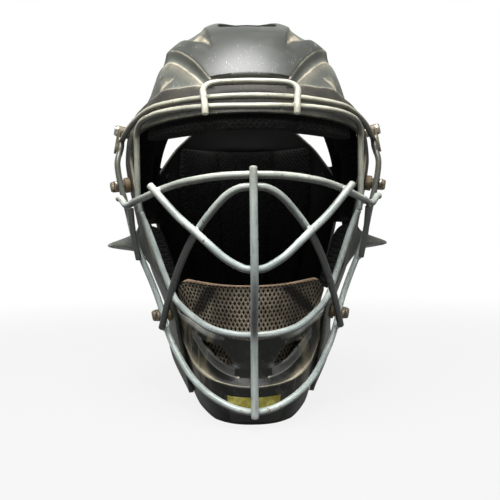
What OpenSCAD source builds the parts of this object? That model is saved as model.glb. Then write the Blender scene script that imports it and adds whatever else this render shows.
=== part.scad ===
// Catcher's helmet of the hockey-mask kind: a sculpted plastic shell with a welded wire face cage,
// a chin guard, a head plate on elastic straps, and pads inside. It stands on its chin guard and on
// the lower rim of its head plate. Front towards -Y, +Z up, x = 0 in the middle of the face, origin
// on the surface it stands on, under the centre of the head. Millimetres.

/* [Head form] */
// Width of the shell at the temples
shell_w = 206; // [198:1:216]
// Width of the shell's form at the surface it stands on
jaw_w = 98; // [92:1:104]
// How much the jaw is drawn in where the face cage is screwed on
jaw_waist = 4.5; // [3:0.5:5.5]
// From the centre of the head to the front of the brow
brow_reach = 124; // [119:1:130]
// From the centre of the head to the back of the head plate
nape_reach = 112; // [106:1:120]
// How far the head plate's lower rim lies in front of its upper part
nape_tuck = 38; // [30:1:44]
// Height of the temples, the widest level
temple_h = 190; // [184:1:198]
// Rise of the crown above the temples
crown_rise = 111; // [108:1:120]

/* [Shell] */
// Thickness of the moulded shell
wall = 3.6; // [3:0.1:4.2]
// Height of the forehead panel above the shell's sides
panel_rise = 3.5; // [2:0.5:5]
// Extra height of the two rounded shoulders
lobe_rise = 2.7; // [1.5:0.1:5]
// How much the slopes beside the forehead panel are hollowed
channel_depth = 1.6; // [0.8:0.1:2.6]
// Height of the rounded crest at the foot of those slopes
crest_rise = 0.9; // [0.4:0.1:1.6]
// How far the sides above the brow band lie below it
side_sink = 2; // [1:0.5:4]
// How much the sides are pinched in above the brow band
side_pinch = 6.2; // [4:0.2:7]
// Rise of the crown's two corners
crown_lift = 4; // [2:0.5:6]
// Depth of the notches beside the crown
crown_notch = 5; // [2:0.5:6]
// Depth of the small notches at the temples
side_notch = 2.2; // [1:0.2:3]
// How far the lower rear corners flare out
corner_flare = 33; // [26:1:36]

/* [Face cage] */
// Thickness of the coated wire in the front bars
front_wire = 5; // [4.4:0.1:5.6]
// Thickness of the coated wire in the jaw bars
jaw_wire = 4.6; // [4.1:0.1:5.1]
// Thickness of the coated wire in the brow bars
brow_wire = 4.4; // [4:0.1:4.8]
// Clear space between the shell's brow and the upper brow bar
brow_gap = 3; // [2:0.5:4.5]

/* [Chin guard] */
// Thickness of the chin guard
guard_wall = 3.4; // [2.8:0.1:4]
// Height of the guard's top edge in the middle
guard_top = 55; // [51:1:59]
// Height of the guard's top edge at its ends
guard_end_top = 79; // [76:1:84]
// How far the guard's top edge leans back
guard_lean = 11; // [8:1:13]
// Depth of the step behind the guard's ridge
ridge_step = 3; // [1.5:0.5:4]

/* [Head plate] */
// Thickness of the head plate
plate_wall = 3.2; // [2.6:0.1:4]
// Height of the head plate's top edge in the middle
plate_top = 262; // [254:1:268]
// How far the head plate can be drawn back on its straps
plate_travel = 25; // [15:1:30]

/* [Pads] */
// Thickness of the forehead pad
forehead_pad_t = 17; // [12:1:20]
// Thickness of the crown pads
crown_pad_t = 14; // [10:1:18]
// Thickness of the ear pads
ear_pad_t = 20; // [15:1:21]
// Thickness of the jaw pads
jaw_pad_t = 14; // [10:1:17]
// Thickness of the head plate's pad
plate_pad_t = 13; // [9:1:16]
// Thickness of the chin pad
chin_pad_t = 12; // [9:1:14]

/* [Straps and fixings] */
// Width of the elastic straps
strap_w = 20; // [15:1:25]
// Thickness of the elastic straps
strap_t = 2; // [1.5:0.1:2.5]
// Diameter of the cage screws
screw_d = 4.8; // [4:0.1:5.5]
// Diameter of the rubber spacers under the cage clips
spacer_d = 12; // [10:0.5:14]
// Height of the rubber spacers
spacer_h = 4; // [3:0.5:5]
// Space left between pieces that lie on each other
seat = 0.3; // [0.2:0.05:0.4]

/* [Hidden] */

// Lengths over which the drawn routes and relief were set out
DRAWN = [206, 124, 190, 113];
MAP_R = 150;      // distance from the crown's top to the temple level on the shell's map
TAPER = 1.25;     // curve of the narrowing from the temples to the jaw
TUCK_CURVE = 1.6; // curve of the nape
SQUARE = 0.4;     // how much squarer the jaw's section is than the temples' ellipse
WAIST_H = 78;     // drawn height of the jaw's waist

function mix(a, b, t) = a + (b - a) * t;
function ease(x) = let (c = min(1, max(0, x))) c * c * (3 - 2 * c);
function unit(v) = v / norm(v);
function flip(p) = [-p.x, p.y, p.z];

// A smooth curve through a list of points, each stretch cut in n
function spline(pts, n) = let (last = len(pts) - 1) [
    for (i = [0:last - 1], k = [0:n - 1])
        let (t = k / n, a = pts[max(i - 1, 0)], b = pts[i], c = pts[i + 1], d = pts[min(i + 2, last)])
        0.5 * (2 * b + (c - a) * t + (2 * a - 5 * b + 4 * c - d) * t * t
               + (3 * b - a - 3 * c + d) * t * t * t),
    pts[last]
];
// The left half added to a curve drawn on the right, from the left end to the right end
function both(half) = concat([for (i = [len(half) - 1:-1:1]) flip(half[i])], half);

// The head form. A place on it is a map point [across, down the front from the crown's top], in
// millimetres over the crown; past MAP_R the map runs straight down. Height at a map distance r:
function form_z(r) = r < MAP_R ? temple_h + crown_rise * cos(90 * r / MAP_R) : temple_h - (r - MAP_R);
function map_r(z) = z > temple_h ? MAP_R * acos(min(1, (z - temple_h) / crown_rise)) / 90
                                 : MAP_R + temple_h - z;
function drop(z) = min(1, max(0, (temple_h - z) / temple_h));
function form_half(z) = shell_w / 2 - (shell_w - jaw_w) / 2 * pow(drop(z), TAPER)
                        - jaw_waist * exp(-pow((z - level(WAIST_H)) / 24, 2));
function form_back(z) = nape_reach - nape_tuck * pow(drop(z), TUCK_CURVE);
function bow(s, z) = sign(s) * pow(abs(s), 2 / (2 + SQUARE * drop(z)));
function skin(m, off = 0) =
    let (r = max(norm(m), 0.001), level = sin(90 * min(r / MAP_R, 1)),
         z = r < MAP_R ? temple_h + (crown_rise + off) * cos(90 * r / MAP_R) : form_z(r),
         half = form_half(z) + off, deep = (m.y > 0 ? brow_reach : form_back(z)) + off)
    [half * level * bow(m.x / r, z), -deep * level * bow(m.y / r, z), z];
// Map point at an angle from the front, positive to the right, and a height
function at(angle, z) = map_r(z) * [sin(angle), cos(angle)];
// Angle from the front of a place on the right side, y in front of the head's centre
function angle_at(y, z) = let (deep = y < 0 ? brow_reach : form_back(z))
    acos(sign(-y) * pow(abs(y) / deep, (2 + SQUARE * drop(z)) / 2));
// Outward direction on the level of a point of the form, seen from above
function outward(p) = unit([p.x * pow(2 * brow_reach / shell_w, 2), p.y, 0]);

// Closed wall between two grids of points, with an edge round every window in it
module walled(outer, inner, window = function (i, j) false) {
    rows = len(outer);
    cols = len(outer[0]);
    n = rows * cols;
    filled = function (i, j) i >= 0 && j >= 0 && i < rows - 1 && j < cols - 1 && !window(i, j);
    id = function (i, j) i * cols + j;
    quad = function (a, b, c, d) [[a, c, b], [a, d, c]];
    faces = [
        for (i = [0:rows - 2], j = [0:cols - 2]) if (filled(i, j))
            let (a = id(i, j), b = id(i, j + 1), c = id(i + 1, j + 1), d = id(i + 1, j))
            each concat(
                quad(a, b, c, d), quad(n + d, n + c, n + b, n + a),
                filled(i - 1, j) ? [] : quad(b, a, n + a, n + b),
                filled(i + 1, j) ? [] : quad(d, c, n + c, n + d),
                filled(i, j - 1) ? [] : quad(a, d, n + d, n + a),
                filled(i, j + 1) ? [] : quad(c, b, n + b, n + c))
    ];
    polyhedron([for (row = outer) each row, for (row = inner) each row], faces, convexity = 10);
}

// Relief of the shell over the head form. Lines of the right half, as distances across and down: the
// forehead panel's edge, the crest at the foot of the slope beside it, and the brow band's upper edge
PANEL_SIDE = [[-60, 46], [0, 66], [35, 62], [52, 56], [75, 46], [93, 38], [107, 31.5], [112, 27]];
RIDGE_LINE = [[-60, 58], [0, 82], [25, 77], [45, 67], [54, 62.5], [71, 55.5], [87, 48.5], [103, 39.5], [112, 32]];
BAND_LINE = [[0, 110], [39, 106], [59, 94.5], [80, 75.5], [99.5, 57], [112, 40], [120, -10]];
PANEL_FOOT = 110; // front edge of the forehead panel, down from the crown's top
// A notch fans out from its tip: tip, angles of its upper and lower line, length
CROWN_NOTCH = [[27, 78], 4, 21, 44];
TEMPLE_NOTCH = [[61, 80], 30, 75, 20];
NOTCH_LIP = 7;    // width over which a notch's lower line comes up again
SHOULDER = [47.6, 40.6]; // place across and half width of the shoulders
PINCH = [102.8, 30.4];   // the same for the pinched sides
CORNER = 22;      // place across of the crown's corners
function bump(x) = ease(1 - abs(x));
function foot_of(p) = PANEL_FOOT - 4 * pow(p / 32, 2);
function notch(p, q, shape, deep) =
    let (dx = p - shape[0].x, dy = shape[0].y - q, a = atan2(dx, dy), r = norm([dx, dy]),
         u = (a - shape[1]) / (shape[2] - shape[1]),
         f = u < 1 ? 0.25 * ease(u / 0.15) + 0.75 * max(0, u) : 1 - ease(r * (a - shape[2]) * PI / 180 / NOTCH_LIP))
    -deep * min(1, r / 30) * f * (1 - ease((r - shape[3]) / 20));
function relief(m) =
    let (p = abs(m.x), q = m.y,
         panel = lookup(q, PANEL_SIDE), ridge = lookup(q, RIDGE_LINE), band = lookup(p, BAND_LINE),
         above = 1 - ease((q - band) / mix(5, 16, ease((p - 60) / 40)) + 0.5),
         side = -side_sink * above * (1 - ease((p - ridge) / 60)),
         x = min(1, max(0, (p - panel) / (ridge - panel))),
         raised = (panel_rise + side_sink)
             * (p < panel ? ease((foot_of(p) - q) / 3 + 0.5) : (1 - x) * ease((PANEL_FOOT + 2 - q) / 5)),
         hollow = -channel_depth * 4 * x * (1 - x) * ease((PANEL_FOOT - q) / 12),
         crest = crest_rise * exp(-pow((p - ridge) / (p < ridge ? 1.6 : 7), 2)) * ease((PANEL_FOOT - q) / 8),
         lobe = lobe_rise * bump((p - SHOULDER[0]) / SHOULDER[1]) * ease((80 - q) / 40) * ease((q + 20) / 40),
         pinch = -side_pinch * above * bump((p - PINCH[0]) / PINCH[1]) * ease((q + 10) / 40),
         crown = crown_lift * (p < CORNER ? ease((p - CORNER + 16) / 16) : 1 - ease((p - CORNER) / 22))
             * ease((64 - q) / 40),
         notches = notch(p, q, CROWN_NOTCH, crown_notch) + notch(p, q, TEMPLE_NOTCH, side_notch))
    ease((q + 34) / 24) * (side + raised + hollow + crest + lobe + pinch + crown + notches);
// A place drawn on to the nearest of the relief's lines, if one runs close by
SNAP = 2.3;
function snap(m) =
    let (p = abs(m.x), q = m.y, to_panel = lookup(q, PANEL_SIDE) - p, to_ridge = lookup(q, RIDGE_LINE) - p,
         to_band = lookup(p, BAND_LINE) - q,
         tip = CROWN_NOTCH[0], to_notch = tip.x + (tip.y - q) * tan(CROWN_NOTCH[2]) - p,
         in_notch = q < tip.y - 4 && q > tip.y - CROWN_NOTCH[3],
         across = abs(to_panel) < SNAP ? to_panel : abs(to_ridge) < SNAP ? to_ridge
             : in_notch && abs(to_notch) < SNAP ? to_notch : 0)
    q < -20 || p < 12 || q > 104 ? m : across != 0 ? [sign(m.x) * (p + across), q]
        : p > 50 && abs(to_band) < SNAP ? [m.x, q + to_band] : m;

// Shell edges on the right half, from the middle of the brow to the jaw tip, as angle and height
FACE_EDGE = [[0, 211], [13, 211], [26, 210.5], [39, 210], [51, 209], [60, 205], [63, 195], [63, 178],
             [62, 155], [60, 128], [58, 102], [55.5, 78], [54, 58], [53, 38], [56, 21], [62, 11]];
REAR_EDGE = [[180, 288], [160, 287.5], [142, 283], [129, 269], [121, 246], [117.5, 220], [116.5, 196],
             [114, 172], [108, 150], [99, 134], [90, 125], [87, 112], [84, 90], [79, 62], [73, 34],
             [66.5, 8]];
SHELL_ROWS = 20;
SHELL_HALF_COLS = 42;
CROWN_COLS = 22;      // columns of each half that lie on the crown
CROWN_PART = 0.42;    // share of the edges' length that they take
FLARE_AT = 0.672;     // place of the flared corner along the shell's edges
ARM_FLARE = 4;        // how far the jaw arms' rear edges turn out
// Drawn heights follow the form's own
function level(z) = z > DRAWN[2] ? temple_h + (z - DRAWN[2]) * crown_rise / DRAWN[3]
                                 : z * temple_h / DRAWN[2];
function edge_point(edge, t) =
    let (x = t * (len(edge) - 1), i = min(floor(x), len(edge) - 2), f = x - i,
         pt = [for (k = [-1:2]) let (e = edge[min(max(abs(i + k), 0), len(edge) - 1)])
               at(i + k < 0 ? -e[0] : e[0], level(e[1]))],
         a = pt[0], b = pt[1], c = pt[2], d = pt[3])
    0.5 * (2 * b + (c - a) * f + (2 * a - 5 * b + 4 * c - d) * f * f
           + (3 * b - a - 3 * c + d) * f * f * f);
function shell_point(i, j, off) =
    let (side = j < SHELL_HALF_COLS - 1 ? -1 : 1, k = abs(j - SHELL_HALF_COLS + 1),
         t = k < CROWN_COLS ? k / CROWN_COLS * CROWN_PART
             : mix(CROWN_PART, 1, (k - CROWN_COLS) / (SHELL_HALF_COLS - 1 - CROWN_COLS)),
         f = i / (SHELL_ROWS - 1), s = mix(f, pow(f, 1.45), 1 - ease((t - 0.35) / 0.15)),
         face = edge_point(FACE_EDGE, t), rear = edge_point(REAR_EDGE, t),
         m = mix(face, rear, s), mm = t < CROWN_PART && s > 0 && s < 1 ? snap([m.x * side, m.y]) : [m.x * side, m.y],
         flare = corner_flare * exp(-pow((t - FLARE_AT) / 0.036, 2)) * pow(s, 2.4)
             + ARM_FLARE * pow(s, 2) * ease((t - 0.86) / 0.06) * (1 - ease((t - 0.93) / 0.07)))
    skin(mm, off + relief(mm) + flare);
function shell_grid(off) = [for (i = [0:SHELL_ROWS - 1])
    [for (j = [0:2 * SHELL_HALF_COLS - 2]) shell_point(i, j, off)]];
// Windows of the shell: the crown vent and three ear slots on each side
CROWN_VENT_ROW = 11;
EAR_SLOT_COLS = [24, 26, 28];
function shell_window(i, j) =
    let (k = j < SHELL_HALF_COLS - 1 ? SHELL_HALF_COLS - 2 - j : j - SHELL_HALF_COLS + 1)
    (i == CROWN_VENT_ROW && k < 3) || (len(search(k, EAR_SLOT_COLS)) > 0 && i >= 8 && i < 13);

// Children drawn on the right side and again, mirrored, on the left
module pair() {
    children();
    mirror([1, 0, 0]) children();
}
// Outward direction of the form at a map point
function normal_at(m, off = 0) =
    let (a = skin(m + [1, 0], off) - skin(m - [1, 0], off), b = skin(m + [0, 1], off) - skin(m - [0, 1], off),
         n = unit(cross(b, a)))
    n * skin(m, off) + n.z * -temple_h < 0 ? -n : n;
// Frame on the form at a map point: +Z outward, +X down or back along the form
module on_form(m, off = 0) {
    n = normal_at(m);
    translate(skin(m) + n * off) rotate([0, acos(n.z), atan2(n.y, n.x)]) children();
}

// Places of the cage's screws on the right side, as map points
CLIP_R = 4.4;     // radius of a clip's boss
function fix_at(y, z) = at(angle_at(y, level(z)), level(z));
// Beside the jaw bar, whose middle is drawn at y: a clear space is left between the boss and the bar
function beside_bar(y, space, z) = fix_at(y * brow_reach / DRAWN[1] + jaw_wire / 2 + CLIP_R + space, z);
TEMPLE_FIX = fix_at(-44 * brow_reach / DRAWN[1], 212);
SIDE_FIX = beside_bar(-57, 7.1, 171);
JAW_FIX = beside_bar(-72.7, 2.8, 71);
CAGE_FIXES = [TEMPLE_FIX, SIDE_FIX, JAW_FIX];
// Places of the strap studs: on the shell's sides and crown, and on the head plate's sides and top
STRAP_H = level(189);
SHELL_STUD = at(104, STRAP_H);
PLATE_STUD = at(131, STRAP_H);
CROWN_STUD = [0, -38];
TOP_STUD = [0, -100];
STRAP_LIFT = 1.5 * seat; // between a strap and what it lies on
STUD_R = 2.2;     // radius of a strap stud's shank
CLIP_T = 1.6;     // thickness of the pressed steel clips
NUT_R = 5;
NUT_H = 3;
HEAD_R = 4.2;
HEAD_H = 2.6;

module hole(m, r) { on_form(m, -12) cylinder(r = r, h = 30, $fn = 32); }

module front_shell() {
    color([0.13, 0.13, 0.14]) difference() {
        walled(shell_grid(0), shell_grid(-wall), function (i, j) shell_window(i, j));
        pair() for (m = CAGE_FIXES) hole(m, screw_d / 2 + seat);
        pair() hole(SHELL_STUD, STUD_R + seat);
        hole(CROWN_STUD, STUD_R + seat);
    }
}

// Chin guard. Its level lines, from the bottom up, as heights along the half width: bottom rim, lower
// front, ridge, foot of the step, crease under the vent, the vent's two long edges and the top edge
GUARD_LINES = [
    [[0, 0], [0.5, 0], [0.75, 4], [1, 11]],
    [[0, 9], [0.5, 11], [0.8, 20], [1, 32]],
    [[0, 24.8], [0.27, 26.5], [0.39, 28.2], [0.53, 31.5], [0.62, 34.5], [0.7, 39.2], [0.76, 46], [1, 66]],
    [[0, 27.5], [0.27, 29], [0.39, 30.8], [0.53, 34.2], [0.62, 37.5], [0.7, 42.5], [0.76, 49], [1, 68]],
    [[0, 30.5], [0.17, 31.5], [0.3, 34], [0.42, 38.2], [0.54, 45.5], [0.62, 53.5], [0.8, 64], [1, 71]],
    [[0, 36], [0.2, 37.2], [0.35, 41], [0.46, 46.2], [0.56, 53.5], [0.65, 60], [0.8, 67], [1, 73.5]],
    [[0, 43], [0.2, 42], [0.25, 46.5], [0.34, 50.8], [0.44, 53.2], [0.56, 55.5], [0.65, 62], [0.8, 69.5], [1, 76]],
    [[0, 55], [0.45, 59.2], [0.57, 62], [0.65, 65.5], [0.85, 73], [1, 79]]
];
GUARD_BACK = [2, 0, 0, 1, 1.2, 1.35, 1.5, 1]; // how far each line stands back, by the named steps
GUARD_COLS = 24;      // columns on each half
GUARD_SPAN = 66;      // angle from the front to the guard's ends
VENT_COLS = [5, 13];  // columns between which the vents open
GUARD_OFF = -(wall + seat);
function guard_inset(k, u) = max(0, 1 - pow(abs(u) / 0.8, 3)) *
    (k == 7 ? guard_lean : k < 3 ? GUARD_BACK[k] : ridge_step * GUARD_BACK[k] + (guard_lean - ridge_step) * (k - 3) / 5);
function guard_h(k, u) = let (h = lookup(abs(u), GUARD_LINES[k]), top = lookup(abs(u), GUARD_LINES[7]))
    level(h) * mix(guard_top / 55, guard_end_top / 79, abs(u));
function guard_point(k, u, off) =
    skin(at(GUARD_SPAN * u, guard_h(k, u)), GUARD_OFF + off - guard_inset(k, u));
function guard_grid(off) = [for (k = [0:7]) [for (j = [-GUARD_COLS:GUARD_COLS])
    guard_point(k, j / GUARD_COLS, off)]];
function guard_window(i, j) = let (k = j < GUARD_COLS ? GUARD_COLS - 1 - j : j - GUARD_COLS)
    i == 5 && k >= VENT_COLS[0] && k < VENT_COLS[1];
module chin_guard() {
    color([0.11, 0.11, 0.12]) difference() {
        walled(guard_grid(0), guard_grid(-guard_wall), function (i, j) guard_window(i, j));
        pair() hole(JAW_FIX, screw_d / 2 + seat);
    }
}

// Head plate. Its outline on the right half, as distance from the middle and height
PLATE_EDGE = [[43, 5], [56, 38], [68, 75], [78, 112], [86, 146], [90, 172], [86, 190], [78, 206], [69, 220], [58, 232]];
PLATE_ROWS = 16;
PLATE_HALF_COLS = 11;
PLATE_MID_LOW = 0;
PLATE_VENT_ROWS = [4, 7, 10];
function plate_angle(x, z) = let (top = sin(90 * min(map_r(z) / MAP_R, 1)))
    asin(min(1, pow(x / (form_half(z) * top), (2 + SQUARE * drop(z)) / 2)));
function plate_m(u, v) =
    let (i = min(floor(v * 9), 8), f = v * 9 - i, e = mix(PLATE_EDGE[i], PLATE_EDGE[i + 1], f),
         z_edge = level(e[1]), z_mid = mix(PLATE_MID_LOW, plate_top, pow(v, 0.97)),
         z = mix(z_mid, z_edge, pow(abs(u), 2 + 2 * (1 - v))),
         a = plate_angle(e[0] * shell_w / DRAWN[0], z_edge))
    at(180 - a * u, z);
function plate_relief(u, v) = 3 * ease((0.5 - abs(u)) / 0.12) * ease((v - 0.2) / 0.08) * ease((0.86 - v) / 0.06);
function plate_grid(off) = [for (i = [0:PLATE_ROWS - 1])
    [for (j = [1 - PLATE_HALF_COLS:PLATE_HALF_COLS - 1])
        let (u = -j / (PLATE_HALF_COLS - 1), v = i / (PLATE_ROWS - 1))
        skin(plate_m(u, v), off + plate_relief(u, v))]];
function plate_window(i, j) = let (k = abs(j - PLATE_HALF_COLS + 1.5) - 0.5)
    len(search(i, PLATE_VENT_ROWS)) > 0 && k >= 2 && k <= 4;
module head_plate() {
    color([0.12, 0.12, 0.13]) difference() {
        walled(plate_grid(0), plate_grid(-plate_wall), function (i, j) plate_window(i, j));
        pair() hole(PLATE_STUD, STUD_R + seat);
        hole(TOP_STUD, STUD_R + seat);
    }
}

// Face cage. Each bar's route is drawn on its right half as points on the plane in which it meets the
// bars that it is welded to, with 1 where the bar lies in front of that plane, -1 where behind it
EYE_PORT = [[0, -131, 213, -1], [22.5, -129, 213.3, -1], [45, -120, 214, -1], [63.5, -108, 214, -1],
            [76, -94, 213, -1], [82, -85, 210.5, -1], [84.8, -80, 205, -1], [85.3, -77.5, 197, -1],
            [85.3, -76.5, 180, -1], [85.2, -76, 162, -1], [84.6, -75.8, 153, -1],
            [84, -75.6, 147.4, -1]];
BROW_LOOP = [[0, -120.4, 231.4, 1], [20, -118.6, 231.2, 1], [27.5, -118.6, 229.6, 1], [30.8, -120.2, 225.5, 1],
             [30.2, -123.7, 219.5, 1], [29.6, -127.9, 213, 1], [29.4, -129, 207.5, 1]];
MIDDLE = [[0, -155, 164.5, -1], [21.5, -152, 164, -1], [43, -142, 162, -1], [58.5, -127.5, 159.5, -1],
          [68.5, -114.5, 157.5, -1], [77, -99.5, 156, -1], [84.5, -82.5, 154.7, -0.18], [89, -75.5, 153.2, -0.2],
          [94, -71, 152.7, -0.5], [97.8, -68, 155.3, -1], [100.2, -65.2, 158.3, -1], [102.6, -62.6, 158.6, -1]];
VEE = [[0, -154.6, 105.5, -1], [8, -154.2, 107, -1], [19, -151.8, 113.5, -0.5], [29, -146.5, 123, 0.5],
       [35.5, -141.2, 129.5, 1], [48.5, -132.4, 141.5, 1], [66, -120.9, 161.5, 1]];
ARCH = [[0, -155, 157, -1], [9, -154, 156.3, -1], [18.5, -151, 151, -1], [30, -144.5, 139, -1],
        [36.5, -140.3, 130.5, -1], [42.2, -134.1, 122.5, -1], [50, -121.9, 108, -1], [57.5, -106, 91, -1],
        [62.5, -93, 79, -1], [67.5, -80.3, 61.5, -0.7]];
CENTRE = [[0, -155, 168.5, 1], [0, -155.2, 140, 1], [0, -154.8, 105, 1], [0, -147, 84, 1],
          [0, -133.5, 62, 1], [0, -132, 40, 1], [0, -131.5, 9, 1]];
INNER_JAW = [[0, -133.3, 62, -1], [14, -132.5, 63, -1], [30, -125, 66.5, -1], [44.5, -109, 74, -1],
             [55.5, -92, 82, -1], [61.5, -82, 91.5, -1], [68.5, -77, 108, -1], [75.5, -74.5, 127, -1],
             [80.3, -74, 139, -1], [83.4, -75.5, 146.5, -1]];
OUTER_JAW = [[0, -131.5, 11, -1], [14, -130.5, 14, -1], [30, -122.5, 21, -1], [44.5, -105.5, 30.5, -1],
             [58, -86, 47, -1], [65, -76.5, 61, -1], [70.5, -70, 78, -1], [77, -66, 94.5, -1],
             [85.5, -63, 114, -1], [90.5, -62, 127, -1], [96, -60, 150, -1], [101.5, -57, 169.5, -1],
             [104.3, -54.5, 186, -1], [103, -51, 196, -1]];
SIDE = [[88.6, -75.2, 149.6, 0], [87.6, -71.5, 132, 0], [84.6, -66.8, 112, 0]];
function fit(p) = [p[0] * shell_w / DRAWN[0], p[1] * brow_reach / DRAWN[1], level(p[2])];
function route(drawn, d) = [for (p = drawn) let (c = fit(p)) c + outward(c) * p[3] * d / 2];

// A round bar along a path: rings of eight corners square to it
BAR_SIDES = 8;
module bar(path, d) {
    last = len(path) - 1;
    rings = [for (i = [0:last])
        let (t = unit(path[min(i + 1, last)] - path[max(i - 1, 0)]), ref = abs(t.z) > 0.9 ? [0, 1, 0] : [0, 0, 1],
             a = unit(cross(ref, t)), b = cross(t, a))
        [for (k = [0:BAR_SIDES - 1]) let (w = 360 * (k + 0.5) / BAR_SIDES)
            path[i] + d / 2 / cos(180 / BAR_SIDES) * 0.985 * (a * cos(w) + b * sin(w))]];
    id = function (i, k) i * BAR_SIDES + k % BAR_SIDES;
    polyhedron([for (r = rings) each r], [
        for (i = [0:last - 1], k = [0:BAR_SIDES - 1]) each
            [[id(i, k), id(i + 1, k), id(i + 1, k + 1)], [id(i, k), id(i + 1, k + 1), id(i, k + 1)]],
        for (k = [1:BAR_SIDES - 2]) each
            [[0, k, k + 1], [id(last, 0), id(last, k + 1), id(last, k)]]
    ], convexity = 6);
}
WIRE = [0.72, 0.77, 0.76];
function hoop(angle) = skin(at(angle, level(219.5 - 17.5 * ease((abs(angle) - 38) / 40))), brow_gap + brow_wire / 2);
module upper_brow_bar() { color(WIRE) bar([for (i = [-14:14]) hoop(i * 4.9)], brow_wire); }
module eye_port_bar() { color(WIRE) bar(both(spline(route(EYE_PORT, brow_wire), 2)), brow_wire); }
module brow_loop_bar() { color(WIRE) bar(both(spline(route(BROW_LOOP, brow_wire), 2)), brow_wire); }
module middle_bar() { color(WIRE) bar(both(spline(route(MIDDLE, front_wire), 2)), front_wire); }
module v_bar() { color(WIRE) bar(both(spline(route(VEE, front_wire), 3)), front_wire); }
module arch_bar() { color(WIRE) bar(both(spline(route(ARCH, front_wire), 2)), front_wire); }
module centre_bar() { color(WIRE) bar(spline(route(CENTRE, front_wire), 2), front_wire); }
module inner_jaw_bar() { color(WIRE) bar(both(spline(route(INNER_JAW, jaw_wire), 2)), jaw_wire); }
OUTER_PATH = spline(route(OUTER_JAW, jaw_wire), 2);
module outer_jaw_bar() { color(WIRE) bar(both(OUTER_PATH), jaw_wire); }
module side_bars() { color(WIRE) pair() bar(spline(route(SIDE, brow_wire), 2), brow_wire); }

// Height above the form, at a screw, of the outer side of the bars that its clip holds down
BROW_PATH = [for (i = [0:28]) hoop(i * 2.45)];
function clip_rise(m) = let (c = skin(m), n = normal_at(m)) seat + max([
    for (p = OUTER_PATH) if (norm(p - c) < 17) (p - c) * n + jaw_wire / 2,
    for (p = BROW_PATH) if (norm(p - c) < 13) (p - c) * n + brow_wire / 2]);
// A pressed steel clip: a boss round the screw and a tongue over the bar, turned towards it
module clip(m, foot, turn, reach) {
    rise = clip_rise(m);
    on_form(m) difference() {
        union() {
            translate([0, 0, foot]) cylinder(r = CLIP_R, h = rise + CLIP_T - foot, $fn = 32);
            rotate([0, 0, turn]) translate([0, 0, rise]) hull() {
                cylinder(r = CLIP_R, h = CLIP_T, $fn = 32);
                translate([reach - CLIP_R, 0, 0]) cylinder(r = 0.8 * CLIP_R, h = CLIP_T, $fn = 24);
            }
        }
        cylinder(d = screw_d + 2 * seat, h = 40, $fn = 32);
    }
}
STEEL = [0.66, 0.66, 0.64];
module temple_clips() { color(STEEL) pair() clip(TEMPLE_FIX, seat, 0, 19); }
module side_clips() { color(STEEL) pair() clip(SIDE_FIX, spacer_h + 2 * seat, -90, 14); }
module jaw_clips() { color(STEEL) pair() clip(JAW_FIX, spacer_h / 2 + 2 * seat, -90, 13); }
module washer(m, h) {
    on_form(m, 1.3 * seat) difference() {
        cylinder(d = spacer_d, h = h, $fn = 40);
        translate([0, 0, -1]) cylinder(d = screw_d + 2 * seat, h = h + 2, $fn = 32);
    }
}
module side_spacers() { color([0.35, 0.27, 0.18]) pair() washer(SIDE_FIX, spacer_h); }
module jaw_grommets() { color([0.45, 0.38, 0.25]) pair() washer(JAW_FIX, spacer_h / 2); }
// A pan-head screw from the clip, through the walls, into its nut
module screw(m, walls) {
    rise = clip_rise(m) + CLIP_T;
    on_form(m) {
        translate([0, 0, -walls - NUT_H - dip(m) - 1])
            cylinder(d = screw_d, h = rise + walls + NUT_H + dip(m) + 2, $fn = 32);
        translate([0, 0, rise]) rotate_extrude($fn = 40)
            polygon([[0, seat / 2], [HEAD_R, seat / 2], [HEAD_R, HEAD_H * 0.5], [HEAD_R * 0.8, HEAD_H], [0, HEAD_H]]);
    }
}
JAW_WALLS = wall + guard_wall + seat;
module temple_screws() { color(STEEL) pair() screw(TEMPLE_FIX, wall); }
module side_screws() { color(STEEL) pair() screw(SIDE_FIX, wall); }
module jaw_screws() { color(STEEL) pair() screw(JAW_FIX, JAW_WALLS); }
// Depth of the shell's relief under a nut
function dip(m) = max(0, -min([for (w = [0:45:315]) relief(m + (NUT_R + 1) * [cos(w), sin(w)])]));
module nut(m, walls) {
    on_form(m, -walls - seat - NUT_H - dip(m)) difference() {
        cylinder(r = NUT_R, h = NUT_H, $fn = 6);
        translate([0, 0, -1]) cylinder(d = screw_d + 0.1, h = NUT_H + 2, $fn = 32);
    }
}
module screw_nuts() {
    color(STEEL) pair() {
        nut(TEMPLE_FIX, wall);
        nut(SIDE_FIX, wall);
        nut(JAW_FIX, JAW_WALLS);
    }
}

// A cushion over a patch of map points place(a, b), a and b from -1 to 1: flat on its seat, crowned on
// its face, drawn in towards its edges, with sewn channels across it where a is in grooves
module cushion(place, back, t, na, nb, grooves = [], window = function (i, j) false, swell = [1, 1]) {
    puff = function (a, b) 0.3 + 0.7 * sqrt((1 - pow(abs(a), 5)) * (1 - pow(abs(b), 5)))
        - max([0, for (g = grooves) 0.35 * exp(-pow((a - g) / 0.045, 2))]);
    grid = function (front) [for (i = [0:nb]) [for (j = [0:na])
        let (a = 2 * j / na - 1, b = 2 * i / nb - 1)
        skin(place(a, b), -back(a, b) - (front ? t * mix(swell[0], swell[1], share(b)) * puff(a, b) : 0))]];
    walled(grid(true), grid(false), window);
}
PAD = [0.09, 0.09, 0.1];
// How far the shell's inner face, with the room left on it, lies inside the head form
function shell_inside(m) = wall + seat - min(0, relief(m));
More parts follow.
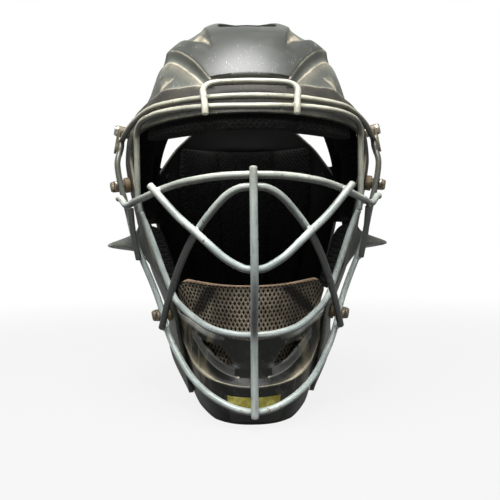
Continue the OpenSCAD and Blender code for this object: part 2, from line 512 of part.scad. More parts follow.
// Outlines of the pads: angles from the front, and heights from the standing surface
FOREHEAD_HALF = 50;      // half angle
FOREHEAD_H = [201, 221]; // lower edge and upper edge at the sides
FOREHEAD_TONGUE = 20;    // how much higher the middle stands
EAR_ANGLES = [75, 100];
EAR_H = [148, 222];
EAR_SWELL = [1.1, 0.65]; // its thickness at the top and at the lobe, as shares
JAW_H = [88, 138];
PLATE_PAD_HALF = 42;
PLATE_PAD_H = [62, 222];
CHIN_PAD_HALF = 54;
CHIN_PAD_FOOT = 26;
CHIN_PAD_OVER = 37;      // how far the chin pad stands above the guard's top edge
function share(b) = (1 + b) / 2;
function high(h, b) = level(mix(h[1], h[0], share(b)));
FOREHEAD = function (a, b) at(FOREHEAD_HALF * a,
    level(mix(FOREHEAD_H[0], FOREHEAD_H[1] + FOREHEAD_TONGUE * ease((0.42 - abs(a)) / 0.25), share(-b))));
CROWN = function (a, b) [17 + 11 * a, 38 + 42 * b];
EAR = function (a, b) at(mix(EAR_ANGLES[0], EAR_ANGLES[1], share(a)), high(EAR_H, b));
module forehead_pad() {
    color(PAD) cushion(FOREHEAD,
        function (a, b) shell_inside(FOREHEAD(a, b)), forehead_pad_t, 20, 6, [-0.36, 0.36]);
}
module crown_pads() {
    color(PAD) pair() cushion(CROWN,
        function (a, b) wall + 4 * seat - relief(CROWN(a, b)), crown_pad_t, 8, 14);
}
module ear_pads() {
    color(PAD) pair() cushion(EAR,
        function (a, b) shell_inside(EAR(a, b)), ear_pad_t, 8, 10, [],
        function (i, j) i >= 3 && i < 7 && j >= 2 && j < 6, EAR_SWELL);
}
module jaw_pads() {
    color(PAD) pair() cushion(function (a, b)
            at(mix(mix(64, 61, share(b)), mix(80, 70, share(b)), share(a)), high(JAW_H, b)),
        function (a, b) wall + seat, jaw_pad_t, 6, 8);
}
module head_plate_pad() {
    color(PAD) cushion(function (a, b) at(180 + PLATE_PAD_HALF * a, high(PLATE_PAD_H, b)),
        function (a, b) plate_wall + 2 * seat, plate_pad_t, 12, 14);
}
CHIN_PAD_OFF = wall + guard_wall + 2 * seat;
CHIN_PAD_HORN = 5;       // how much higher its top edge stands towards the ends
CHIN_PAD_ROUND = 12;     // how far its upper corners are rounded down
function chin_h(a, b) = mix(guard_top + CHIN_PAD_OVER + CHIN_PAD_HORN * pow(a, 2)
    - CHIN_PAD_ROUND * pow(max(0, abs(a) - 0.8) / 0.2, 2.5), CHIN_PAD_FOOT, share(b));
function chin_lean(a, z) = max(0, 1 - pow(abs(a) * CHIN_PAD_HALF / GUARD_SPAN / 0.8, 3))
    * guard_lean * ease((z - 14) / 40 + 0.12);
module chin_pad() {
    color([0.52, 0.46, 0.39]) cushion(function (a, b) at(CHIN_PAD_HALF * a, chin_h(a, b)),
        function (a, b) CHIN_PAD_OFF + chin_lean(a, chin_h(a, b)), chin_pad_t, 20, 8);
}

// Elastic straps, each a band on the form from stud to stud, and past them by its end
STRAP_END = 9;
module side_straps() {
    span = [for (k = [0:8]) mix(98, 137, k / 8)];
    face = function (off) [for (w = span) let (p = skin(at(w, STRAP_H), off)) [p.x, p.y]];
    back = face(STRAP_LIFT + strap_t);
    color([0.06, 0.06, 0.06]) pair() difference() {
        translate([0, 0, STRAP_H - strap_w / 2]) linear_extrude(strap_w)
            polygon(concat(face(STRAP_LIFT), [for (i = [8:-1:0]) back[i]]));
        hole(SHELL_STUD, STUD_R + seat);
        hole(PLATE_STUD, STUD_R + seat);
    }
}
module top_strap() {
    span = [for (k = [0:10]) mix(-CROWN_STUD.y - STRAP_END, -TOP_STUD.y + STRAP_END, k / 10)];
    face = function (off) [for (q = span) let (p = skin([0, -q], off + relief([0, -q]))) [p.y, p.z]];
    back = face(STRAP_LIFT + strap_t);
    color([0.06, 0.06, 0.06]) difference() {
        rotate([90, 0, 90]) translate([0, 0, -strap_w / 2]) linear_extrude(strap_w)
            polygon(concat(face(STRAP_LIFT), [for (i = [10:-1:0]) back[i]]));
        hole(CROWN_STUD, STUD_R + seat);
        hole(TOP_STUD, STUD_R + seat);
    }
}
// Plates that hold the straps' ends down, each on a stud with a flat head inside the wall
ANCHOR_LIFT = STRAP_LIFT + strap_t + 2.4 * seat;
module anchor(m) {
    on_form(m, ANCHOR_LIFT) difference() {
        translate([-strap_w / 2, -5, 0]) cube([strap_w, 10, CLIP_T]);
        translate([0, 0, -1]) cylinder(r = STUD_R + seat, h = 4, $fn = 32);
    }
}
module stud(m, walls) {
    top = ANCHOR_LIFT + CLIP_T + seat;
    on_form(m) {
        translate([0, 0, -walls - 1.5]) cylinder(r = STUD_R, h = top + walls + 2, $fn = 32);
        translate([0, 0, -walls - 2 * seat - 1.5]) cylinder(r = 5, h = 1.5, $fn = 32);
        translate([0, 0, top]) rotate_extrude($fn = 40) polygon([[0, 0], [4.5, 0], [4, 1.2], [2.5, 2], [0, 2]]);
    }
}
DARK = [0.1, 0.1, 0.1];
module shell_strap_anchors() {
    color(DARK) pair() anchor(SHELL_STUD);
    color(DARK) anchor(CROWN_STUD);
}
module plate_strap_anchors() {
    color(DARK) pair() anchor(PLATE_STUD);
    color(DARK) anchor(TOP_STUD);
}
module strap_studs() {
    color(DARK) pair() stud(SHELL_STUD, wall);
    color(DARK) stud(CROWN_STUD, wall);
}
module plate_studs() {
    color(DARK) pair() stud(PLATE_STUD, plate_wall);
    color(DARK) stud(TOP_STUD, plate_wall);
}

front_shell();
chin_guard();
head_plate();
upper_brow_bar();
eye_port_bar();
brow_loop_bar();
middle_bar();
v_bar();
arch_bar();
centre_bar();
inner_jaw_bar();
outer_jaw_bar();
side_bars();
temple_clips();
side_clips();
jaw_clips();
side_spacers();
jaw_grommets();
temple_screws();
side_screws();
jaw_screws();
screw_nuts();
forehead_pad();
crown_pads();
ear_pads();
jaw_pads();
head_plate_pad();
chin_pad();
side_straps();
top_strap();
shell_strap_anchors();
plate_strap_anchors();
strap_studs();
plate_studs();
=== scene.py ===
"""Catcher's helmet, dressed: worn black shell, pale coated wire cage, mesh pads, elastic straps.

Sizes are in millimetres until a mesh is made; x is across the face, -y is the front, z is up. A place on
the shell is a map point (across, down the front from the crown's top), wrapped over the head form.
"""
import math

import bpy
import numpy as np
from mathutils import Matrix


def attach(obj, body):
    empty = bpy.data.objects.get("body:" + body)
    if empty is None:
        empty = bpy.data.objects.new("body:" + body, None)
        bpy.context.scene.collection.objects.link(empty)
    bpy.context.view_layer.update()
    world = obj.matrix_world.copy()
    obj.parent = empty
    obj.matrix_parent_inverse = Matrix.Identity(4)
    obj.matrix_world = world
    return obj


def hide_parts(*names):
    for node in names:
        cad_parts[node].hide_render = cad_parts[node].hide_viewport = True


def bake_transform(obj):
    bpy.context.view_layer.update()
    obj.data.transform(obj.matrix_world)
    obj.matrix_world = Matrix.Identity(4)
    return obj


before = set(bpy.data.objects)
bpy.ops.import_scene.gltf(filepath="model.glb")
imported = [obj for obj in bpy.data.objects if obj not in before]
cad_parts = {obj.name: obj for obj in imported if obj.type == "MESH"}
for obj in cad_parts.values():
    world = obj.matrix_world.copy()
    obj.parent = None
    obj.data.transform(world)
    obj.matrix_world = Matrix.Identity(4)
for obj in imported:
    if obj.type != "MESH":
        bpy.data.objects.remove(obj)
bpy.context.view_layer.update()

# Head form and walls
SHELL_W, JAW_W, JAW_WAIST, BROW, NAPE, TUCK, TEMPLE_H, CROWN_RISE = 206, 98, 4.5, 124, 112, 38, 190, 111
MAP_R, TAPER, TUCK_CURVE, SQUARE, WAIST_H = 150, 1.25, 1.6, 0.4, 78
SHELL_T, GUARD_T, PLATE_T, SEAT = 3.6, 3.4, 3.2, 0.3
# Relief of the shell
PANEL_RISE, SIDE_SINK, CREST_RISE, SLOPE_HOLLOW = 3.5, 2, 0.9, 1.6
SHOULDER_RISE, SIDE_PINCH, CORNER_LIFT = 2.7, 6.2, 4
# Middle and half width, across, of the shoulder's rise and of the side's pinch
SHOULDER_AT, PINCH_AT = (47.6, 40.6), (102.8, 30.4)
PANEL_SIDE = [(-60, 46), (0, 66), (35, 62), (52, 56), (75, 46), (93, 38), (107, 31.5), (112, 27)]
RIDGE_LINE = [(-60, 58), (0, 82), (25, 77), (45, 67), (54, 62.5), (71, 55.5), (87, 48.5), (103, 39.5), (112, 32)]
BAND_LINE = [(0, 110), (39, 106), (59, 94.5), (80, 75.5), (99.5, 57), (112, 40), (120, -10)]
PANEL_FOOT = 110
# A notch: its tip across and down, the angles of its upper and lower line, its length and depth
CROWN_NOTCH, TEMPLE_NOTCH = (27, 78, 4, 21, 44, 5), (61, 80, 30, 75, 20, 2.2)
# Cage wires, the gap from the brow to its bar, and how far a wire's rounded end reaches, in radii
FRONT_WIRE, JAW_WIRE, BROW_WIRE, BROW_GAP, CAP = 5.0, 4.6, 4.4, 3.0, 0.35
# Head plate's straps: section, gap under them, height of the side straps
STRAP_W, STRAP_T, STRAP_LIFT, SIDE_STRAP_H = 20, 2, 0.45, 189


# ---------------------------------------------------------------- curves and the head form
def ease(x):
    """Smooth step: 3c^2 - 2c^3 of x held between 0 and 1."""
    c = np.clip(x, 0, 1)
    return c * c * (3 - 2 * c)


def bump(x):
    """A smooth hill: 1 at 0, 0 at -1 and 1."""
    return ease(1 - np.abs(x))


def mix(a, b, t):
    return a + (b - a) * t


def sine(degrees):
    return np.sin(np.radians(degrees))


def cosine(degrees):
    return np.cos(np.radians(degrees))


def unit(v):
    return v / np.maximum(np.linalg.norm(v, axis=-1, keepdims=True), 1e-9)


def lookup(x, table):
    """Straight lines between the table's points."""
    return np.interp(x, [p[0] for p in table], [p[1] for p in table])


def smooth_through(points, x):
    """Catmull-Rom curve through points, at x from 0 to their last index; the first and last are phantom ends."""
    points = np.asarray(points, float)
    i = np.clip(np.floor(x).astype(int), 0, len(points) - 4)
    f = (x - i)[..., None]
    a, b, c, d = (points[i + k] for k in range(4))
    return 0.5 * (2 * b + (c - a) * f + (2 * a - 5 * b + 4 * c - d) * f * f + (3 * b - a - 3 * c + d) * f ** 3)


def level(z):
    """Height of a drawn level on this head form."""
    return np.where(z > 190, TEMPLE_H + (z - 190) * CROWN_RISE / 113, z * TEMPLE_H / 190)


def drop(z):
    """Share of the way down from the temples to the rim."""
    return np.clip((TEMPLE_H - z) / TEMPLE_H, 0, 1)


def form_half(z):
    """Half width at a height: narrows by a power of the drop below the temples, with a waist at the jaw."""
    waist = JAW_WAIST * np.exp(-((z - level(WAIST_H)) / 24) ** 2)
    return SHELL_W / 2 - (SHELL_W - JAW_W) / 2 * drop(z) ** TAPER - waist


def form_back(z):
    """Depth behind the middle at a height: tucked in below the temples."""
    return NAPE - TUCK * drop(z) ** TUCK_CURVE


def map_r(z):
    """Distance on the map from the crown's top to a height: the arc over the crown, then straight down."""
    z = np.asarray(z, float)
    arc = np.degrees(np.arccos(np.clip((z - TEMPLE_H) / CROWN_RISE, 0, 1))) / 90
    return np.where(z > TEMPLE_H, MAP_R * arc, MAP_R + TEMPLE_H - z)


def skin(m, off=0.0):
    """Point of the head form, off millimetres outside it: a quarter sine wave over the crown to MAP_R, then straight
    down; each level is an ellipse whose power grows towards the jaw."""
    x, y = m[..., 0], m[..., 1]
    r = np.maximum(np.hypot(x, y), 1e-3)
    ring = sine(90 * np.minimum(r / MAP_R, 1))
    z = np.where(r < MAP_R, TEMPLE_H + (CROWN_RISE + off) * cosine(90 * r / MAP_R), TEMPLE_H - (r - MAP_R))
    half = form_half(z) + off
    deep = np.where(y > 0, BROW, form_back(z)) + off
    power = 2 / (2 + SQUARE * drop(z))
    return np.stack([half * ring * np.sign(x) * np.abs(x / r) ** power,
                     -deep * ring * np.sign(y) * np.abs(y / r) ** power, z], -1)


def at(angle, z):
    """Map point at an angle from the front and a height."""
    angle, z = np.broadcast_arrays(np.asarray(angle, float), np.asarray(z, float))
    return map_r(z)[..., None] * np.stack([sine(angle), cosine(angle)], -1)


def foot_of(p):
    """Foot of the raised panel, arched up towards its sides."""
    return PANEL_FOOT - 4 * (p / 32) ** 2


def notch_fan(p, q, shape):
    """Polar place in a notch: its share from the upper line to the lower one, the distance past the lower line, and
    the distance from the tip."""
    a = np.degrees(np.arctan2(p - shape[0], shape[1] - q))
    r = np.hypot(p - shape[0], shape[1] - q)
    return (a - shape[2]) / (shape[3] - shape[2]), r * np.radians(a - shape[3]), r


def notch(p, q, shape):
    """A notch fans out from its tip: a small step at its upper line, deepest at its lower line, up again in 7 mm."""
    u, past, r = notch_fan(p, q, shape)
    depth = np.where(u < 1, 0.25 * ease(u / 0.15) + 0.75 * np.clip(u, 0, 1), 1 - ease(past / 7))
    return -shape[5] * np.clip(r / 30, 0, 1) * depth * (1 - ease((r - shape[4]) / 20))


def relief(m):
    """Height of the shell over the form: raised forehead panel, hollowed slopes beside it with a crest at their foot,
    rounded shoulders, pinched sides, and notches beside the crown and at the temples."""
    p, q = np.abs(m[..., 0]), m[..., 1]
    panel, ridge, band = lookup(q, PANEL_SIDE), lookup(q, RIDGE_LINE), lookup(p, BAND_LINE)
    above = 1 - ease((q - band) / mix(5, 16, ease((p - 60) / 40)) + 0.5)
    side = -SIDE_SINK * above * (1 - ease((p - ridge) / 60))
    x = np.clip((p - panel) / (ridge - panel), 0, 1)
    raised = (PANEL_RISE + SIDE_SINK) * np.where(p < panel, ease((foot_of(p) - q) / 3 + 0.5),
                                                 (1 - x) * ease((PANEL_FOOT + 2 - q) / 5))
    hollow = -SLOPE_HOLLOW * 4 * x * (1 - x) * ease((PANEL_FOOT - q) / 12)
    crest = CREST_RISE * np.exp(-((p - ridge) / np.where(p < ridge, 1.6, 7)) ** 2) * ease((PANEL_FOOT - q) / 8)
    shoulder = SHOULDER_RISE * bump((p - SHOULDER_AT[0]) / SHOULDER_AT[1]) * ease((80 - q) / 40) * ease((q + 20) / 40)
    pinch = -SIDE_PINCH * above * bump((p - PINCH_AT[0]) / PINCH_AT[1]) * ease((q + 10) / 40)
    corner = CORNER_LIFT * np.where(p < 22, ease((p - 6) / 16), 1 - ease((p - 22) / 22)) * ease((64 - q) / 40)
    notches = notch(p, q, CROWN_NOTCH) + notch(p, q, TEMPLE_NOTCH)
    return ease((q + 34) / 24) * (side + raised + hollow + crest + shoulder + pinch + corner + notches)


# ---------------------------------------------------------------- meshes
def make_mesh(name, points, quads, material, smooth_angle=40, uv=None, attributes=None, triangles=None):
    """A mesh object from an array of points in millimetres and arrays of quads and triangles."""
    points = np.asarray(points, float).reshape(-1, 3) * 0.001
    faces = np.asarray(quads, int).reshape(-1, 4).tolist()
    if triangles is not None:
        faces += np.asarray(triangles, int).reshape(-1, 3).tolist()
    mesh = bpy.data.meshes.new(name)
    mesh.from_pydata(points, [], faces)
    for key, values in (attributes or {}).items():
        layer = mesh.attributes.new(key, "FLOAT", "POINT")
        layer.data.foreach_set("value", np.asarray(values, np.float32).ravel())
    if uv is not None:
        corner = np.empty(len(mesh.loops), np.int32)
        mesh.loops.foreach_get("vertex_index", corner)
        lay = np.asarray(uv, float).reshape(-1, 2)[corner] * 0.001
        mesh.uv_layers.new(name="lay").data.foreach_set("uv", lay.astype(np.float32).ravel())
    mesh.validate()
    mesh.update()
    mesh.shade_smooth()
    mesh.set_sharp_from_angle(angle=math.radians(smooth_angle))
    mesh.materials.append(material)
    ob = bpy.data.objects.new(name, mesh)
    bpy.context.scene.collection.objects.link(ob)
    return ob


def grid_quads(rows, cols, start, flip, kept):
    """Quads of a grid of points that follow each other row after row; kept says which cells are there."""
    i, j = np.meshgrid(np.arange(rows - 1), np.arange(cols - 1), indexing="ij")
    a = start + i * cols + j
    quads = np.stack([a, a + 1, a + cols + 1, a + cols], -1)[kept]
    return quads[:, ::-1] if flip else quads


def ring_faces(rings, sides, flip=False):
    """Faces of closed rings of points, ring after ring: the quads between them, and the triangles from the first
    and the last ring to two poles that follow the rings; flip turns every face round."""
    i, j = np.meshgrid(np.arange(rings - 1), np.arange(sides), indexing="ij")
    k = (j + 1) % sides
    quads = np.stack([i * sides + j, i * sides + k, (i + 1) * sides + k, (i + 1) * sides + j], -1).reshape(-1, 4)
    j, k, pole, last = j[0], k[0], np.full(sides, rings * sides), (rings - 1) * sides
    triangles = np.concatenate([np.stack([k, j, pole], -1), np.stack([last + j, last + k, pole + 1], -1)])
    return (quads[:, [0, 3, 2, 1]], triangles[:, [1, 0, 2]]) if flip else (quads, triangles)


def middles(x):
    """Values half-way between neighbours: those at the middles of cells."""
    return (x[1:] + x[:-1]) / 2


def opening(a, b, power_a, power_b):
    """True inside a rounded window with half sizes of 1: where |a|^power_a + |b|^power_b is under 1."""
    return np.abs(a) ** power_a + np.abs(b) ** power_b < 1


def walled(name, outer, inner, material, kept=None, uv=None, attributes=None, bevel=1.0, smooth_angle=40):
    """Closed wall between two grids, with an edge round its border and round every window; the outer grid's rows
    run so that row x column points outwards."""
    rows, cols = outer.shape[:2]
    n = rows * cols
    kept = np.ones((rows - 1, cols - 1), bool) if kept is None else kept
    quads = [grid_quads(rows, cols, 0, True, kept), grid_quads(rows, cols, n, False, kept)]
    padded = np.pad(kept, 1)
    a = np.arange(n).reshape(rows, cols)
    # Each side of a cell: the two points of its edge, and whether the cell beyond it is there
    for c, d, beyond in ((a[:-1, 1:], a[:-1, :-1], padded[:-2, 1:-1]), (a[1:, :-1], a[1:, 1:], padded[2:, 1:-1]),
                         (a[:-1, :-1], a[1:, :-1], padded[1:-1, :-2]), (a[1:, 1:], a[:-1, 1:], padded[1:-1, 2:])):
        edge = kept & ~beyond
        c, d = c[edge], d[edge]
        quads.append(np.stack([c, d, d + n, c + n], -1))
    points = np.concatenate([outer.reshape(-1, 3), inner.reshape(-1, 3)])
    used, quads = np.unique(np.concatenate(quads), return_inverse=True)
    twice = lambda v: np.concatenate([np.asarray(v, float).reshape(n, -1)] * 2)[used]
    layers = {key: twice(values) for key, values in (attributes or {}).items()}
    layers["inner"] = (used >= n).astype(float)
    ob = make_mesh(name, points[used], quads, material, smooth_angle, None if uv is None else twice(uv), layers)
    if bevel:
        mod = ob.modifiers.new("rounded rims", "BEVEL")
        mod.width, mod.segments, mod.limit_method, mod.angle_limit = bevel * 0.001, 2, "ANGLE", math.radians(55)
    return ob


def run_along(path):
    """Distance along a path to each of its points."""
    return np.concatenate([[0], np.cumsum(np.linalg.norm(np.diff(path, axis=0), axis=1))])


def tube(name, path, radius, material, sides=20, grime=0):
    """Round bar along a path: rings square to the path, the first direction kept away from the head; each end is
    rounded by two smaller rings on a quarter ellipse and a pole, CAP radii long. Grime is a share of darkening for
    each point of the path; the stored field adds painted shade on the wire's underside: 0.95 x ease((-0.05 - the
    normal's height) / 0.55)."""
    path = np.asarray(path, float)
    t = unit(np.gradient(path, axis=0))
    out = unit(path * [1, 1, 0])
    b = unit(out - (out * t).sum(-1, keepdims=True) * t)
    a = np.cross(t, b)
    r = np.broadcast_to(np.asarray(radius, float), len(path))
    ahead, size = CAP * sine(np.array([60, 30]))[:, None], cosine(np.array([60, 30]))
    spine = np.concatenate([path[0] - t[0] * r[0] * ahead, path, path[-1] + t[-1] * r[-1] * ahead[::-1]])
    r2 = np.concatenate([r[0] * size, r, r[-1] * size[::-1]])[:, None]
    a, b = (np.pad(v, ((2, 2), (0, 0)), "edge")[:, None] for v in (a, b))
    w = 2 * np.pi * np.arange(sides) / sides
    spoke = r2[..., None] * (a * np.cos(w)[:, None] + b * np.sin(w)[:, None])
    poles = [path[0] - t[0] * r[0] * CAP, path[-1] + t[-1] * r[-1] * CAP]
    quads, triangles = ring_faces(len(spine), sides)
    run = run_along(spine)
    uv = np.stack(np.broadcast_arrays(run[:, None], w * np.mean(r)), -1).reshape(-1, 2)
    dirt = np.pad(np.broadcast_to(np.asarray(grime, float), len(path)), 2, "edge")
    # painted shade: the wire darkens where its surface faces down
    below = np.minimum(dirt[:, None] + 0.95 * ease((-0.05 - spoke[..., 2] / r2) / 0.55), 1)
    return make_mesh(name, np.concatenate([(spine[:, None] + spoke).reshape(-1, 3), poles]), quads, material, 60,
                     np.concatenate([uv, [[run[0], 0], [run[-1], 0]]]),
                     {"grime": np.concatenate([below.ravel(), dirt[[0, -1]]])}, triangles)


def mirrored(points):
    """The same points on the other side of the face."""
    return points * [-1, 1, 1]


# ---------------------------------------------------------------- finishes
class Tone:
    """A socket of a material being made. Arithmetic on tones adds Math nodes."""

    def __init__(self, tree, socket=None):
        self.tree, self.socket = tree, socket

    def node(self, kind, settings=(), sockets=(), out=0):
        """A new node of a kind, with its settings set first and its sockets given values or linked to tones."""
        n = self.tree.nodes.new("ShaderNode" + kind)
        for key, value in dict(settings).items():
            setattr(n, key, value)
        for key, value in dict(sockets).items():
            if isinstance(value, Tone):
                self.tree.links.new(value.socket, n.inputs[key])
            else:
                n.inputs[key].default_value = value
        return Tone(self.tree, n.outputs[out])

    def calc(self, operation, *values):
        return self.node("Math", {"operation": operation}, dict(enumerate(values)))

    def __add__(self, other):
        return self.calc("ADD", self, other)

    def __sub__(self, other):
        return self.calc("SUBTRACT", self, other)

    def __rsub__(self, other):
        return self.calc("SUBTRACT", other, self)

    def __mul__(self, other):
        return self.calc("MULTIPLY", self, other)

    def __truediv__(self, other):
        return self.calc("DIVIDE", self, other)

    __radd__, __rmul__ = __add__, __mul__

    def __abs__(self):
        return self.calc("ABSOLUTE", self)

    def root(self):
        return self.calc("SQRT", self)

    def wave(self):
        return self.calc("SINE", self)

    def past_whole(self):
        return self.calc("FRACT", self)

    def least(self, other):
        return self.calc("MINIMUM", self, other)

    def most(self, *others):
        tone = self
        for other in others:
            tone = self.calc("MAXIMUM", tone, other)
        return tone

    def step(self, low, high):
        """0 below low, 1 above high, smooth between."""
        return self.node("MapRange", {"interpolation_type": "SMOOTHSTEP"}, {0: self, 1: low, 2: high, 3: 0.0, 4: 1.0})

    def line(self, width):
        """1 where the tone is near 0, falling away over width on both sides."""
        return abs(self).step(width, 0.0)

    def blend(self, under, over):
        """Colour under, covered by colour over as far as this tone says."""
        return self.node("Mix", {"data_type": "RGBA"}, {0: self, 6: under, 7: over}, 2)

    def place(self):
        return self.node("TexCoord", out="Object")

    def lay(self):
        return self.node("UVMap", {"uv_map": "lay"})

    def field(self, name):
        return self.node("Attribute", {"attribute_name": name}, out="Fac")

    def noise(self, where, scale, detail=4.0, rough=0.55):
        sockets = {"Vector": where, "Scale": scale, "Detail": detail, "Roughness": rough}
        return self.node("TexNoise", {}, sockets, "Fac")

    def turned(self, where, turn, size):
        """Coordinates turned by degrees and stretched."""
        turn = tuple(math.radians(v) for v in turn)
        return self.node("Mapping", {}, {"Vector": where, "Rotation": turn, "Scale": size})

    def parts(self):
        split = self.node("SeparateXYZ", {}, {0: self}).socket.node
        return [Tone(self.tree, o) for o in split.outputs]

    def raised(self, height, strength, distance):
        return self.node("Bump", {}, {"Height": height, "Strength": strength, "Distance": distance}, "Normal")


def rgb(r, g, b):
    """Linear colour of an sRGB value from 0 to 255."""
    f = lambda v: v / 12.92 if v <= 0.04045 else ((v + 0.055) / 1.055) ** 2.4
    return (f(r / 255), f(g / 255), f(b / 255), 1.0)


def coated(colour, *coats):
    """A colour under coats of others, each with the share that it covers."""
    for cover, over in coats:
        colour = cover.blend(colour, over)
    return colour


def finish_of(name, build, **constants):
    """A material: build(tone) returns the sockets that vary; constants are set on the shader's own sockets."""
    material = bpy.data.materials.new(name)
    material.use_nodes = True
    tree = material.node_tree
    shader = tree.nodes["Principled BSDF"]
    for key, value in constants.items():
        shader.inputs[key.replace("_", " ")].default_value = value
    for key, value in build(Tone(tree)).items():
        if isinstance(value, Tone):
            tree.links.new(value.socket, shader.inputs[key])
        else:
            shader.inputs[key].default_value = value
    return material


def shell_finish(t):
    """Black plastic with a moulded grain, a pale film of dust and painted sheen, thicker towards the crown's top and
    on the upward facets below the ridge, and fine scratches. The raised lines are rubbed thin and pale, with painted
    highlights along them; dust with painted light lies below the ridge and in the notches, the crescent lips' bevel
    is painted lit, the slopes beside the panel are the palest, and the band over the brow stays dark. The fields are
    distances in millimetres from each line, or shares from 0 to 1."""
    where = t.place()
    cloud, grime = t.noise(where, 9.0, 5.0, 0.6), t.noise(where, 34.0, 6.0, 0.68)
    fine, grain = t.noise(where, 160.0, 3.0, 0.6), t.noise(where, 900.0, 2.0)
    ridge, panel, front, band, notch, lip, rim, crescent, inner, dust, wear, faced = (t.field(name) for name in (
        "ridge", "panel", "front", "band", "notch", "lip", "rim", "crescent", "inner", "dust", "wear", "faced"))
    shown = 1 - inner.step(0.2, 0.8)
    worn, stray = grime.step(0.34, 0.6), (fine - 0.5) * 1.4
    slope = ridge.step(0.1, -0.7) * panel.step(0.1, -0.7) * front
    facet = ridge.step(0.0, 3.0) * band.step(1.0, -1.5) * front * faced
    brow = band.step(-1.0, 1.5) * band.step(19.5, 18.0) * faced
    # The pale film is dust and painted sheen: its share is raised towards the crown's top as painted sheen, and it is
    # lifted as painted light on the upward facets below the ridge
    haze_and_sheen = cloud.step(0.4, 0.7) * 0.05 + grime.step(0.45, 0.7) * 0.05 + grain * 0.04 + 0.07
    haze_and_sheen = (haze_and_sheen + facet * (grime * 0.12 + 0.1)) * (1 + slope * 2.0 - brow * 0.85) * (shown * 0.9 + 0.1) * dust
    brown = brow * shown * (grime.step(0.35, 0.65) * 0.16 + 0.04)
    mottle = grime.step(0.5, 0.72) * fine.step(0.45, 0.6) * dust.step(0.45, 0.2) * 0.12
    streaks = t.noise(t.turned(where, (0, 10, 0), (110, 110, 22)), 1.0, 4.0, 0.6).step(0.48, 0.62) * wear * shown
    # Below the ridge: tan dust, and painted light where the surface turns to face up
    below = ridge.step(9.0, 0.2) * ridge.step(-0.3, 0.5) * front
    ridge_dust_and_light = below * shown * (worn * 0.3 + 0.16) * dust.most(wear * 2.2).least(1.6)
    # In the notches: caked dust, and painted light on their upward-facing floors
    dusty = notch.step(0.0, 1.2) * (lip.step(9.0, 0.5) * 0.75 + 0.15)
    notch_dust_and_light = dusty * shown * (grime.step(0.3, 0.62) * 0.45 + fine.step(0.35, 0.6) * 0.3 + 0.2)
    # Scratches: noise drawn out along three directions
    wide, long, short = (t.noise(t.turned(where, turn, size), 1.0, 2.0).step(low, low + 0.05) for turn, size, low in (
        ((0, 24, 12), (800, 36, 170), 0.675), ((12, -38, 30), (900, 50, 210), 0.68),
        ((0, 62, -20), (70, 900, 260), 0.68)))
    nicks = t.noise(where, 640.0, 2.0).step(0.70, 0.75) * cloud.step(0.5, 0.6) * panel.step(30.0, 12.0)
    side = (panel.step(36.0, 16.0) * 0.9 + 0.1) * (1 - brow * 0.85)
    scratches = wide.most(long, short) * side * cloud.step(0.36, 0.58) * (1 - slope) * shown * dust.least(1.0)
    # Raised lines rubbed pale, and painted highlights along the same edges: the ridge, the panel's edge, the lips,
    # the brow band's top, the rims
    rubbed_and_lit_edges = ((ridge + stray * 0.8).line(1.3) * front * (worn * 0.45 + 0.25 + wear * 0.3)).most(
        (panel + stray * 0.4).line(0.8) * front * (worn * 0.45 + 0.15),
        (lip + stray * 0.3).line(0.8) * (0.8 - crescent.step(-2.0, 0.0) * 0.45),
        (band + stray).line(1.5) * ridge.step(-2.0, 1.0) * faced * worn * 0.4,
        rim.step(2.6, 0.6) * worn * 0.14,
        rim.step(4.0, 1.0) * wear * (worn * 0.35 + 0.3))
    edge_colour = (crescent.step(-3.0, 0.0) * dust.step(0.45, 0.25)).blend(rgb(198, 190, 166), rgb(176, 178, 172))
    colour = coated(cloud.blend(rgb(10, 11, 11), rgb(20, 21, 20)), (haze_and_sheen, rgb(166, 170, 158)),
                    (brown, rgb(112, 100, 80)), (mottle, rgb(150, 146, 132)),
                    (streaks * (fine * 0.4 + 0.15), rgb(150, 138, 112)), (ridge_dust_and_light, rgb(160, 150, 128)),
                    # painted light: the crescent lips' bevel, greyed as if lit from above
                    (crescent.step(0.1, 1.0) * (worn * 0.1 + 0.2), rgb(132, 134, 130)), (notch_dust_and_light, rgb(184, 174, 150)),
                    (rubbed_and_lit_edges * shown, edge_colour),
                    (scratches * 0.42 + nicks * shown * dust.least(1.0) * 0.25, rgb(214, 214, 208)))
    rough = 0.18 + dust.least(1.2) * 0.22 + grime * 0.14 + dusty * 0.3 + below * 0.12 + facet * 0.06 + brow * 0.3
    height = fine * 0.3 + grain * 0.15 + grime * 0.2 - scratches * 0.5 - nicks
    return {"Base Color": colour, "Roughness": rough, "Normal": t.raised(height, 0.25, 0.0004)}


def plain_black(t):
    """Moulded black with a fine grain and dust in patches; for parts with no worn edges of their own."""
    where = t.place()
    grime, fine = t.noise(where, 40.0, 6.0, 0.65), t.noise(where, 700.0, 2.0)
    return {"Base Color": (grime.step(0.5, 0.8) * 0.4).blend(rgb(24, 24, 25), rgb(84, 80, 72)),
            "Roughness": 0.42 + grime * 0.2, "Normal": t.raised(fine, 0.2, 0.0002)}


